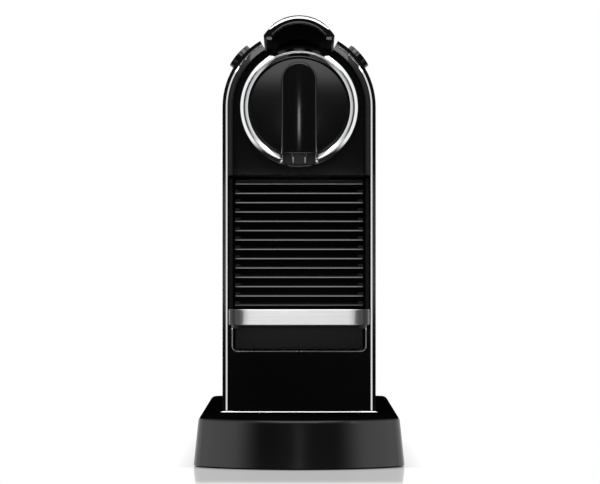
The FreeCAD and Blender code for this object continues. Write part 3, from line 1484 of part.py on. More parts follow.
def tube(name, points, bend):
    """A hose along straight runs that are joined by arcs."""
    spots = [V(*[number(text) for text in point]) for point in points]
    radius, edges, start = number(bend), [], spots[0]
    for before, corner, after in zip(spots, spots[1:], spots[2:]):
        back, ahead = (before - corner).normalize(), (after - corner).normalize()
        arm = radius / math.tan(back.getAngle(ahead) / 2)
        enter, leave = corner + back * arm, corner + ahead * arm
        inward = (back + ahead).normalize()
        middle = corner + inward * (math.hypot(arm, radius) - radius)
        edges.append(Part.LineSegment(start, enter).toShape())
        edges.append(Part.Arc(enter, middle, leave).toShape())
        start = leave
    edges.append(Part.LineSegment(start, spots[-1]).toShape())
    section = Part.makeCircle(number("hose_radius"), spots[0], spots[1] - spots[0])
    return formed(name, Part.Wire(edges).makePipeShell([Part.Wire(section)], True, True))


def make_pump():
    body = new_body("pump_body")
    turned(body, "z", ("-pump_x", "0"), "pump_y", [
        ("0", "pump_low"), ("pump_neck", "pump_low"), ("pump_neck", "pump_low+pump_end"),
        ("pump_radius", "pump_low+pump_end"), ("pump_radius", "pump_top-pump_end"),
        ("pump_neck", "pump_top-pump_end"), ("pump_neck", "pump_top"), ("0", "pump_top")])
    node("pump_body", body)
    coil = new_body("pump_coil")
    pad(coil, "z", "coil_low", "coil_low+coil_tall",
        rectangle("-pump_x-coil_half", "wall_place+wall_thick", "coil_half-pump_x", "pump_y+coil_half"),
        circle("-pump_x", "pump_y", "pump_radius+fit_gap"))
    node("pump_coil", coil)
    meter = new_body("flow_meter")
    cap = DECK + "+meter_tall"
    turned(meter, "z", ("0", "0"), "meter_y", [
        ("0", SPIGOT), ("hose_radius", SPIGOT), ("hose_radius", DECK), ("meter_radius", DECK),
        ("meter_radius", cap), ("0", cap)])
    node("flow_meter", meter)
    height = DECK + "+meter_tall/2"
    supply = tube("supply_hose", [
        ("0", "seat_place", SPIGOT), ("0", "seat_place", "hose_low"),
        ("0", "meter_y", "hose_low"), ("0", "meter_y", SPIGOT)], "hose_bend")
    draw = tube("draw_hose", [
        ("-meter_radius-fit_gap", "meter_y", height), ("-pump_x", "meter_y", height),
        ("-pump_x", "pump_y", height), ("-pump_x", "pump_y", "pump_low")], "hose_short")
    node("suction_hose", group("suction_hose", supply, draw))


def make_thermoblock():
    body = new_body("thermoblock")
    left, right = "block_left", "block_left+block_wide"
    back = "wall_place+wall_thick"
    pad(body, "z", "block_low", "block_low+block_tall", rectangle(left, back, right, back + "+block_deep"))
    fin = pad(body, "y", back + "+block_deep/2", back + "+block_deep+block_fin", rectangle(
        left, "block_low+block_fin", right, "block_low+2*block_fin"))
    repeat(body, [fin], "z", "block_tall-(fin_count-1)*block_fin", "fin_count")
    top = "block_low+block_tall+block_rise"
    inlet, outlet = "block_left+block_wide/2", "block_left+hose_radius+stub_set"
    pad(body, "z", "block_low+block_tall/2", top, circle(inlet, "pump_y", "hose_radius+stub_wall"),
        circle(outlet, "lead_in", "hose_radius+stub_wall"))
    node("thermoblock", body)
    feed = tube("feed_hose", [
        ("-pump_x", "pump_y", "pump_top"), ("-pump_x", "pump_y", "hose_top"),
        (inlet, "pump_y", "hose_top"), (inlet, "pump_y", top)], "hose_bend")
    lead = tube("lead_hose", [
        (outlet, "lead_in", top), (outlet, "lead_in", "chamber_height"), ("0", "lead_in", "chamber_height"),
        ("0", "wall_place+wall_thick", "chamber_height")], "hose_short")
    node("pressure_hose", group("pressure_hose", feed, lead))


def make_control_board():
    body = new_body("control_board")
    rear = "(shell_rear-back_thick-board_stand)"
    face = "(%s-board_thick)" % rear
    top = "board_low+board_tall"
    pad(body, "y", face, rear, rectangle("-board_half", "board_low", "board_half", top))
    pad(body, "y", face + "-8*board_thick", face + "+board_thick/2",
        rectangle("-board_half/2", "board_low+board_tall/4", "0", "board_low+board_tall/2"),
        circle("board_half/2", "board_low+board_tall/2", "4*board_thick"))
    node("control_board", body)


for make in (
        make_base_plinth, make_base_plate, make_base_fixings, make_side_shells, make_trim_strips,
        make_top_cover, make_back_panel, make_bulkhead, make_front_panel, make_ring_and_disc,
        make_spout, make_outlet_nozzle, make_head_floor, make_lever, make_sector_gears,
        make_idler_gears, make_racks, make_gear_pins, make_brew_chamber, make_brew_frame,
        make_extraction_plate, make_inlet_sleeve, make_buttons, make_drip_tray, make_module_frame,
        make_drip_grid, make_capsule_container, make_cup_support, make_water_tank, make_tank_valve,
        make_pump, make_thermoblock, make_control_board):
    make()
doc.recompute()

for thing in doc.Objects:
    if "Invalid" in thing.State or "Error" in thing.State:
        raise RuntimeError("%s did not build" % thing.Label)
for piece in NODES:
    if piece.Shape.isNull() or not piece.Shape.isValid():
        raise RuntimeError("%s has no sound shape" % piece.Label)

os.makedirs("parts", exist_ok=True)
for piece in NODES:
    piece.Shape.exportStep("parts/%s.step" % piece.Label)
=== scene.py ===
"""Dresses the pod coffee machine: studio, finishes and finer surfaces round its fixed frame.

Pieces are worked out in millimetres from the frame's boxes, and turn into metres where a mesh is made. The studio
and the finishes are in metres.
"""

from __future__ import annotations

import json
import logging
import math
from dataclasses import dataclass
from enum import Enum

import bmesh
import bpy
import numpy as np
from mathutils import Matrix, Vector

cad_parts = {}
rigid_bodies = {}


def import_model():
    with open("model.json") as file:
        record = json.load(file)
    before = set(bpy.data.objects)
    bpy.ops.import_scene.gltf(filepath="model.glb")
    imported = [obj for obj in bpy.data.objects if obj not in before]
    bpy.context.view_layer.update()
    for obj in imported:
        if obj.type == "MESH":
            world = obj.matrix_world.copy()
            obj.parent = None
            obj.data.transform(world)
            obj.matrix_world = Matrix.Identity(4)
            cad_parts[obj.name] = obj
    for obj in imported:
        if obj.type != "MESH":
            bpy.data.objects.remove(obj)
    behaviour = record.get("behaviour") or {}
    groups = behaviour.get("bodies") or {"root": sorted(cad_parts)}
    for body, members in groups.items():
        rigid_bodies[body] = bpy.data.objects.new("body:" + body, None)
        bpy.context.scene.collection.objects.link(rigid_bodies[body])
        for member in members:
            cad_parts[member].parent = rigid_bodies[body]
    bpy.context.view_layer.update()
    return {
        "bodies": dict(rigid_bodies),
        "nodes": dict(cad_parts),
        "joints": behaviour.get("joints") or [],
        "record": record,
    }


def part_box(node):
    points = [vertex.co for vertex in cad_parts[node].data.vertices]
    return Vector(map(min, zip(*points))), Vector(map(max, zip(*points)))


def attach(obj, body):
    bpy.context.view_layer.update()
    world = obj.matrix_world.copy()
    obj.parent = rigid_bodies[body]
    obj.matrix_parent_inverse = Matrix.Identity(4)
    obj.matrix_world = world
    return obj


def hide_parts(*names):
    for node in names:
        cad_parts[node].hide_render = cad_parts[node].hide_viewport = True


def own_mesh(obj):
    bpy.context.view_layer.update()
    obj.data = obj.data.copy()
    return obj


LOG = logging.getLogger("coffee_machine")
MM = 0.001
Colour = tuple[float, float, float]
Place = tuple[float, float, float]
Span = tuple[float, float]
Object = bpy.types.Object
Material = bpy.types.Material
Socket = bpy.types.NodeSocket
Input = Socket | float | tuple[float, ...]


class Grain(Enum):
    """How the small marks of a finish run: their stretch along X, Y and Z."""

    EVEN = (1.0, 1.0, 1.0)
    ALONG_X = (0.02, 1.0, 1.0)
    ALONG_Z = (1.0, 1.0, 0.02)


class Side(Enum):
    """A side of the machine, as the sign of its X."""

    RIGHT = 1.0
    LEFT = -1.0

    @property
    def word(self) -> str:
        """The side in words, for the names of pieces and nodes."""
        return self.name.lower()


@dataclass(frozen=True)
class Nodes:
    """A node tree, with short ways to add what the finishes and the studio share."""

    tree: bpy.types.NodeTree

    def add(self, kind: str, inputs: dict[str | int, Input] | None = None, **settings: str) -> bpy.types.Node:
        """Adds a node and feeds its inputs.

        Args:
            kind: The node's type, without its first word.
            inputs: What goes into each input.
            settings: The node's own properties, such as its operation.

        Returns:
            The node.
        """
        node = self.tree.nodes.new("ShaderNode" + kind)
        for name, value in settings.items():
            setattr(node, name, value)
        for name, value in (inputs or {}).items():
            self.feed(node.inputs[name], value)
        return node

    def feed(self, target: Socket, value: Input) -> None:
        """Links an input to a socket, or sets it to a constant.

        Args:
            target: The input.
            value: The socket or the constant.
        """
        if isinstance(value, Socket):
            self.tree.links.new(value, target)
        else:
            target.default_value = value

    def calc(self, operation: str, first: Input, second: Input = 0.0) -> Socket:
        """The result of one of Blender's operations on one or two values."""
        return self.add("Math", {0: first, 1: second}, operation=operation).outputs["Value"]

    def span(self, value: Socket, source: Span, target: tuple[Input, Input], smooth: bool = False) -> Socket:
        """Maps a value from one span to another and holds it there.

        Args:
            value: What is mapped.
            source: The value at the start and at the end.
            target: The result at the start and at the end.
            smooth: Whether the result leaves both ends softly.

        Returns:
            The result.
        """
        inputs = {"Value": value, "From Min": source[0], "From Max": source[1], "To Min": target[0],
                  "To Max": target[1]}
        kind = "SMOOTHSTEP" if smooth else "LINEAR"
        return self.add("MapRange", inputs, interpolation_type=kind).outputs["Result"]

    def axes(self, kind: str = "Object") -> list[Socket]:
        """The X, Y and Z of one of Blender's kinds of coordinates."""
        place = self.add("TexCoord").outputs[kind]
        return list(self.add("SeparateXYZ", {"Vector": place}).outputs)

    def mirrored(self, path: bpy.types.Node) -> Socket:
        """One where a ray of the Light Path node comes off a mirror or through glass, and nothing elsewhere."""
        return self.calc("MAXIMUM", path.outputs["Is Glossy Ray"], path.outputs["Is Transmission Ray"])


@dataclass(frozen=True)
class Finish:
    """One surface finish, built from noise on Object coordinates.

    Attributes:
        name: The material slot.
        colour: The colour, which drifts by the share tint.
        roughness: The roughness, which varies by spread and stays above least.
        grain: How the fine marks run. Their noise has the scale marks.
        smears: The scale of the broad noise.
        bump: How strongly the marks stand out, over the height relief in metres.
        drift: The fine noise at which the colour is darkest and palest.
        mixed: The sum of both noises at which the surface is smoothest and roughest.
    """

    name: str
    colour: Colour
    roughness: float
    spread: float = 0.04
    metallic: float = 0.0
    specular: float = 0.5
    transmission: float = 0.0
    ior: float = 1.5
    tint: float = 0.06
    grain: Grain = Grain.EVEN
    marks: float = 900.0
    marks_detail: float = 3.0
    smears: float = 14.0
    smears_detail: float = 2.0
    bump: float = 0.02
    relief: float = 0.00005
    drift: Span = (0.3, 0.7)
    mixed: Span = (0.6, 1.4)
    least: float = 0.01

    def build(self) -> Material:
        """Makes the material.

        Returns:
            A node material whose colour, roughness and normal vary a little over the surface.
        """
        material = bpy.data.materials.new(self.name)
        material.use_nodes = True
        nodes = Nodes(material.node_tree)
        place = nodes.add("TexCoord").outputs["Object"]
        stretched = nodes.add("Mapping", {"Vector": place, "Scale": self.grain.value}).outputs["Vector"]
        fine = nodes.add("TexNoise", {"Vector": stretched, "Scale": self.marks, "Detail": self.marks_detail})
        broad = nodes.add("TexNoise", {"Vector": place, "Scale": self.smears, "Detail": self.smears_detail})
        marks, smears = fine.outputs["Fac"], broad.outputs["Fac"]
        bump = nodes.add("Bump", {"Strength": self.bump, "Distance": self.relief, "Height": marks})
        values = {
            "Base Color": self._colour(nodes, marks), "Roughness": self._roughness(nodes, marks, smears),
            "Specular IOR Level": self._specular(nodes), "Normal": bump.outputs["Normal"],
            "Metallic": self.metallic, "Transmission Weight": self.transmission, "IOR": self.ior,
        }
        shader = material.node_tree.nodes["Principled BSDF"]
        for name, value in values.items():
            nodes.feed(shader.inputs[name], value)
        return material

    def _colour(self, nodes: Nodes, marks: Socket) -> Socket:
        """Lets the colour drift a little either side of its value.

        Args:
            nodes: The material's nodes.
            marks: The fine noise.

        Returns:
            The colour.
        """
        ramp = nodes.add("ValToRGB", {"Fac": marks})
        low, high = ramp.color_ramp.elements
        low.position, high.position = self.drift
        low.color = (*(c * (1.0 - self.tint) for c in self.colour), 1.0)
        high.color = (*(min(1.0, c * (1.0 + self.tint)) for c in self.colour), 1.0)
        return ramp.outputs["Color"]

    def _roughness(self, nodes: Nodes, marks: Socket, smears: Socket) -> Socket:
        """The roughness, which goes with the sum of the fine marks and the broad smears."""
        ends = max(self.least, self.roughness - self.spread), self.roughness + self.spread
        return nodes.span(nodes.calc("ADD", marks, smears), self.mixed, ends)

    def _specular(self, nodes: Nodes) -> Input:
        """How much the surface mirrors, here the same all over."""
        return self.specular


@dataclass(frozen=True)
class PaintedEndShadeFinish(Finish):
    """A finish with painted shade: its colour darkens towards both ends of a piece along X, in place of the dark
    reflections at a bent bar's ends.

    Attributes:
        fade: The distances from the middle between which the painted shade darkens it, in metres.
        painted_end_level: What is left of the colour at the ends under the painted shade.
    """

    fade: Span = (0.029, 0.04)
    painted_end_level: float = 0.03

    def _colour(self, nodes: Nodes, marks: Socket) -> Socket:
        """Multiplies the drifting colour by a painted shade that depends on the distance from the middle.

        Args:
            nodes: The material's nodes.
            marks: The fine noise.

        Returns:
            The colour.
        """
        away = nodes.calc("ABSOLUTE", nodes.axes()[0])
        # Painted shade: the colour falls towards the ends, standing in for the dark reflections of the bar's bent
        # ends.
        painted_end_shade = nodes.span(away, self.fade, (1.0, self.painted_end_level), smooth=True)
        inputs = {"Vector": super()._colour(nodes, marks), "Scale": painted_end_shade}
        return nodes.add("VectorMath", inputs, operation="SCALE").outputs["Vector"]


@dataclass(frozen=True)
class CappedFinish(Finish):
    """A finish that turns dull above a height, as a plain moulded top does.

    Attributes:
        cap: The heights between which it turns dull, in metres.
        cap_specular: How much it mirrors above them.
    """

    cap: Span = (0.0284, 0.0299)
    cap_specular: float = 0.0

    def _specular(self, nodes: Nodes) -> Socket:
        """How much the surface mirrors, fading out between the two heights."""
        return nodes.span(nodes.axes()[2], self.cap, (self.specular, self.cap_specular))


@dataclass(frozen=True)
class RibbedFinish(Finish):
    """A satin finish with a polished line on the front of each rib.

    Attributes:
        pitch: The height from one rib to the next, in metres.
        first: The height of one line.
        share: A line's height as a share of the pitch.
        front: The Y ahead of which a surface counts as a rib's front.
        polish: The lines' roughness.
    """

    pitch: float = 0.00594
    first: float = 0.09808
    share: float = 0.085
    front: float = -0.0728
    polish: float = 0.03

    def _roughness(self, nodes: Nodes, marks: Socket, smears: Socket) -> Socket:
        """Makes the surface smooth where its height is within a line's share of a pitch.

        Args:
            nodes: The material's nodes.
            marks: The fine noise.
            smears: The broad noise.

        Returns:
            The roughness.
        """
        _, depth, height = nodes.axes()
        turns = nodes.calc("DIVIDE", nodes.calc("SUBTRACT", height, self.first), self.pitch)
        line = nodes.calc("LESS_THAN", nodes.calc("FRACT", turns), self.share)
        ahead = nodes.calc("LESS_THAN", depth, self.front)
        satin = super()._roughness(nodes, marks, smears)
        blend = nodes.add("Mix", {"Factor": nodes.calc("MULTIPLY", line, ahead), "A": satin, "B": self.polish})
        return blend.outputs["Result"]


BLACK: Colour = (0.005, 0.005, 0.0055)
FINISHES: dict[str, Finish] = {finish.name: finish for finish in (
    CappedFinish("plinth_black", (0.0015, 0.0015, 0.0017), 0.22, specular=0.65, marks=2600.0, bump=0.05),
    Finish("shell_black", BLACK, 0.05, spread=0.015),
    Finish("panel_black", BLACK, 0.03, spread=0.01, bump=0.005),
    Finish("disc_gloss", (0.003, 0.003, 0.0034), 0.19, spread=0.015),
    Finish("spout_gloss", (0.004, 0.004, 0.0045), 0.1, spread=0.015),
    Finish("lower_gloss", (0.003, 0.003, 0.0035), 0.04, spread=0.015),
    Finish("lever_black", BLACK, 0.08, spread=0.015),
    Finish("button_black", BLACK, 0.04, spread=0.01),
    Finish("lid_black", BLACK, 0.06, spread=0.015),
    Finish("trim_bright", (0.7, 0.7, 0.71), 0.14, metallic=1.0, grain=Grain.ALONG_Z),
    Finish("chrome", (0.86, 0.87, 0.88), 0.07, spread=0.02, metallic=1.0, tint=0.02),
    # bar_metal: its ends are painted darker, a painted shade for the reflections at its bent ends.
    PaintedEndShadeFinish("bar_metal", (0.92, 0.92, 0.92), 0.21, metallic=0.65, grain=Grain.ALONG_X, marks=1500.0, bump=0.03),
    Finish("steel", (0.6, 0.6, 0.61), 0.3, metallic=1.0, bump=0.004),
    Finish("brass", (0.7, 0.52, 0.24), 0.26, metallic=1.0, bump=0.05),
    Finish("thermoblock_metal", (0.58, 0.59, 0.6), 0.42, metallic=1.0, marks=500.0, bump=0.2),
    RibbedFinish("container_black", BLACK, 0.33, bump=0.005),
    Finish("module_black", BLACK, 0.33, specular=0.25, bump=0.03),
    Finish("tray_black", (0.008, 0.008, 0.0085), 0.45, specular=0.2, bump=0.1),
    Finish("grid_black", BLACK, 0.6, specular=0.04, bump=0.1),
    Finish("support_black", (0.007, 0.007, 0.0075), 0.35, specular=0.2, bump=0.1),
    Finish("nozzle_black", (0.008, 0.008, 0.0085), 0.32, bump=0.05),
    Finish("inner_grey", (0.06, 0.06, 0.063), 0.45, bump=0.1),
    Finish("chamber_grey", (0.14, 0.14, 0.145), 0.4, bump=0.1),
    Finish("switch_black", (0.02, 0.02, 0.02), 0.4, bump=0.1),
    Finish("gear_cream", (0.72, 0.69, 0.58), 0.42, bump=0.1),
    Finish("pump_white", (0.72, 0.72, 0.69), 0.4, bump=0.1),
    Finish("valve_white", (0.7, 0.7, 0.67), 0.38, bump=0.1),
    Finish("coil_dark", (0.09, 0.06, 0.04), 0.4, grain=Grain.ALONG_X, bump=0.3),
    Finish("board_green", (0.02, 0.16, 0.06), 0.35, bump=0.05),
    Finish("hose_clear", (0.78, 0.77, 0.71), 0.35, bump=0.05),
    Finish("seal_red", (0.42, 0.07, 0.04), 0.55, bump=0.1),
    Finish("rubber_black", (0.015, 0.015, 0.015), 0.7, bump=0.2),
    Finish("tank_smoke", (0.2, 0.21, 0.22), 0.08, spread=0.02, transmission=0.85, ior=1.49),
)}


@dataclass(frozen=True)
class Box:
    """Where a node is at rest, in millimetres.

    Attributes:
        right: The highest X.
        front, back: The lowest and the highest Y.
        foot, top: The lowest and the highest Z.
    """

    right: float
    front: float
    back: float
    foot: float
    top: float

    @classmethod
    def of(cls, node: str, digits: int = 4) -> Box:
        """Reads a node's box from the frame, rounded because the frame's meshes are in single precision."""
        low, high = (np.round(np.array(corner) / MM, digits).tolist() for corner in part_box(node))
        return cls(right=high[0], front=low[1], back=high[1], foot=low[2], top=high[2])

    @property
    def level(self) -> float:
        """The Z half way up."""
        return (self.foot + self.top) / 2


def grid(x: np.ndarray | float, y: np.ndarray | float, z: np.ndarray | float) -> np.ndarray:
    """Points from their X, Y and Z, spread to one shape with a last axis of three."""
    return np.stack(np.broadcast_arrays(x, y, z), axis=-1)


def surface(name: str, points: np.ndarray, around: bool = False, along: bool = False, ends: bool = False,
            caps: tuple[list[int], ...] = (), near: float = 1e-7) -> Object:
    """Turns a grid of points into a smooth mesh object.

    Args:
        name: The object's name.
        points: An array of shape (rows, columns, 3), in millimetres.
        around: Whether the last row joins the first.
        along: Whether the last column joins the first.
        ends: Whether the first and the last row are closed by a face each.
        caps: Other loops of point numbers that close open ends.
        near: The distance in metres at which points are one.

    Returns:
        The object, linked to the scene, with doubled points merged and faces outwards.
    """
    rows, columns = points.shape[:2]
    number = np.arange(rows * columns).reshape(rows, columns)
    if ends:
        caps = (*caps, number[0].tolist(), number[-1].tolist())
    if around:
        number = np.vstack([number, number[:1]])
    if along:
        number = np.hstack([number, number[:, :1]])
    quads = np.stack([number[:-1, :-1], number[1:, :-1], number[1:, 1:], number[:-1, 1:]], axis=-1)
    mesh = bpy.data.meshes.new(name)
    mesh.from_pydata((points.reshape(-1, 3) * MM).tolist(), [], quads.reshape(-1, 4).tolist() + list(caps))
    work = bmesh.new()
    work.from_mesh(mesh)
    bmesh.ops.remove_doubles(work, verts=work.verts, dist=near)
    bmesh.ops.dissolve_degenerate(work, edges=work.edges, dist=near)
    bmesh.ops.recalc_face_normals(work, faces=work.faces)
    work.to_mesh(mesh)
    work.free()
    mesh.polygons.foreach_set("use_smooth", np.ones(len(mesh.polygons), dtype=bool))
    thing = bpy.data.objects.new(name, mesh)
    bpy.context.scene.collection.objects.link(thing)
    return thing


def softened(corners: list[Span], cuts: tuple[float, ...], steps: int = 8) -> np.ndarray:
    """A closed loop whose corners are rounded.

    Each corner becomes a quadratic curve between two points that lie its cut away from it on its two sides,
    with the corner as the control point.

    Args:
        corners: The corners in order.
        cuts: How far each rounding reaches along its sides.
        steps: Points on each rounding.

    Returns:
        An array of shape (corners * steps, 2).
    """
    middle = np.array(corners, dtype=float)
    reach = np.array(cuts, dtype=float)[:, None]
    ends = []
    for shift in (1, -1):
        side = np.roll(middle, shift, axis=0) - middle
        ends.append(middle + reach * side / np.linalg.norm(side, axis=1, keepdims=True))
    share = np.linspace(0.0, 1.0, steps)[None, :, None]
    first, last = ends[0][:, None], ends[1][:, None]
    curve = (1 - share) ** 2 * first + 2 * share * (1 - share) * middle[:, None] + share ** 2 * last
    return curve.reshape(-1, 2)


def turned(name: str, profile: np.ndarray, height: float, steps: int) -> Object:
    """A closed profile of radius and depth, turned about a line along Y.

    Args:
        name: The object's name.
        profile: Radii and Y values of the loop.
        height: The line's Z.
        steps: Divisions of the turn.

    Returns:
        The turned object.
    """
    angle = np.linspace(0.0, 2 * np.pi, steps, endpoint=False)[:, None]
    radius, depth = profile[None, :, 0], profile[None, :, 1]
    points = grid(radius * np.cos(angle), depth, height + radius * np.sin(angle))
    return surface(name, points, around=True, along=True)


def rod_along(name: str, path: np.ndarray, radius: np.ndarray | float, steps: int = 12,
              out: np.ndarray | None = None) -> Object:
    """A round rod along a path.

    At each point of the path a circle stands across the path's direction. One of its two axes is given, or is the
    path's normal within a plane of constant Y. The other is square to both that and the path's direction.

    Args:
        name: The object's name.
        path: Points of shape (rows, 3), in millimetres.
        radius: The rod's radius, or one for each point.
        steps: Points round the rod.
        out: The first axis at each point, where the path leaves its plane.

    Returns:
        The rod, closed at both ends.
    """
    way = np.gradient(path, axis=0)
    way = way / np.linalg.norm(way, axis=1, keepdims=True)
    if out is None:
        out = grid(-way[:, 2], 0.0, way[:, 0])
    rise = np.cross(out, way)
    angle = np.linspace(0.0, 2 * np.pi, steps, endpoint=False)[None, :, None]
    size = np.broadcast_to(radius, (len(path),))[:, None, None]
    points = path[:, None] + size * (np.cos(angle) * out[:, None] + np.sin(angle) * rise[:, None])
    return surface(name, points, along=True, ends=True)


@dataclass(frozen=True)
class Arch:
    """The line that each side of the front follows: straight up, then round to the lever's gap.

    Attributes:
        foot: The Z where it starts.
        centre: The Z of the arch's middle.
        end: The angle round the arch at which it ends, in radians.
        side_rows, arch_rows: How many sections lie up the side and round the arch.
        first_rise, last_share: Where the sections next to both ends lie, near enough to keep the ends sharp.
        turn: The shares of the arch between which a section turns into another.
    """

    foot: float
    centre: float
    end: float
    side_rows: int = 41
    arch_rows: int = 64
    first_rise: float = 0.05
    last_share: float = 0.999
    turn: Span = (0.47, 0.57)

    @classmethod
    def from_frame(cls, foot: float) -> Arch:
        """Reads the arch from the ring in its middle and the strip that ends at the lever's gap."""
        centre, strip = Box.of("chrome_ring").level, Box.of("right_trim_strip")
        return cls(foot, centre, math.asin((strip.top - centre) / strip.right))

    def carry(self, name: str, loop: np.ndarray, side: Side, tip: np.ndarray | None = None) -> Object:
        """Carries a closed section up one side and along the arch.

        The section reaches out from the line's middle: across on the straight part, and along the turning
        radius on the arch. Half way along the arch it turns smoothly into the tip's section.

        Args:
            name: The object's name.
            loop: The section, as distances from the arch's middle and Y values.
            side: The side that it is on.
            tip: The section that it turns into, if that differs.

        Returns:
            The swept object, closed at both ends.
        """
        round_arch = np.linspace(0.0, self.end * self.last_share, self.arch_rows)[1:]
        angle = np.concatenate([np.zeros(self.side_rows), round_arch, [self.end]])[:, None]
        rise = np.linspace(self.foot + self.first_rise, self.centre, self.side_rows - 1)
        base = np.concatenate([[self.foot], rise, np.full(self.arch_rows, self.centre)])[:, None]
        start, end = self.turn
        share = np.clip((angle / self.end - start) / (end - start), 0.0, 1.0)
        share = (share * share * (3.0 - 2.0 * share))[..., None]
        section = loop[None] + share * ((loop if tip is None else tip) - loop)[None]
        reach, depth = section[..., 0], section[..., 1]
        points = grid(side.value * np.cos(angle) * reach, depth, base + np.sin(angle) * reach)
        return surface(name, points, along=True, ends=True)


@dataclass(frozen=True)
class Lamp:
    """A rectangular soft lamp, in metres and watts."""

    name: str
    place: Place
    aim: Place
    size: Span
    power: float

    def build(self) -> None:
        """Makes the lamp and turns it to the point that it faces."""
        data = bpy.data.lights.new(self.name, "AREA")
        data.shape = "RECTANGLE"
        data.size, data.size_y = self.size
        data.energy = self.power
        lamp = bpy.data.objects.new(self.name, data)
        lamp.location = self.place
        x, y, z = np.array(self.aim) - np.array(self.place)
        lamp.rotation_euler = (math.atan2(math.hypot(x, y), -z), 0.0, math.atan2(-x, y))
        bpy.context.scene.collection.objects.link(lamp)


LAMPS = (
    Lamp("top_lamp", (0.0, -0.6, 1.05), (0.0, -0.15, 0.2), (1.3, 0.95), 10.5),
    Lamp("brow_lamp", (0.0, -0.73, 0.435), (0.0, -0.13, 0.24), (0.5, 0.17), 0.6),
    Lamp("front_lamp", (0.0, -2.9, 0.1405), (0.0, -0.13, 0.1405), (0.18, 0.182), 0.67),
)


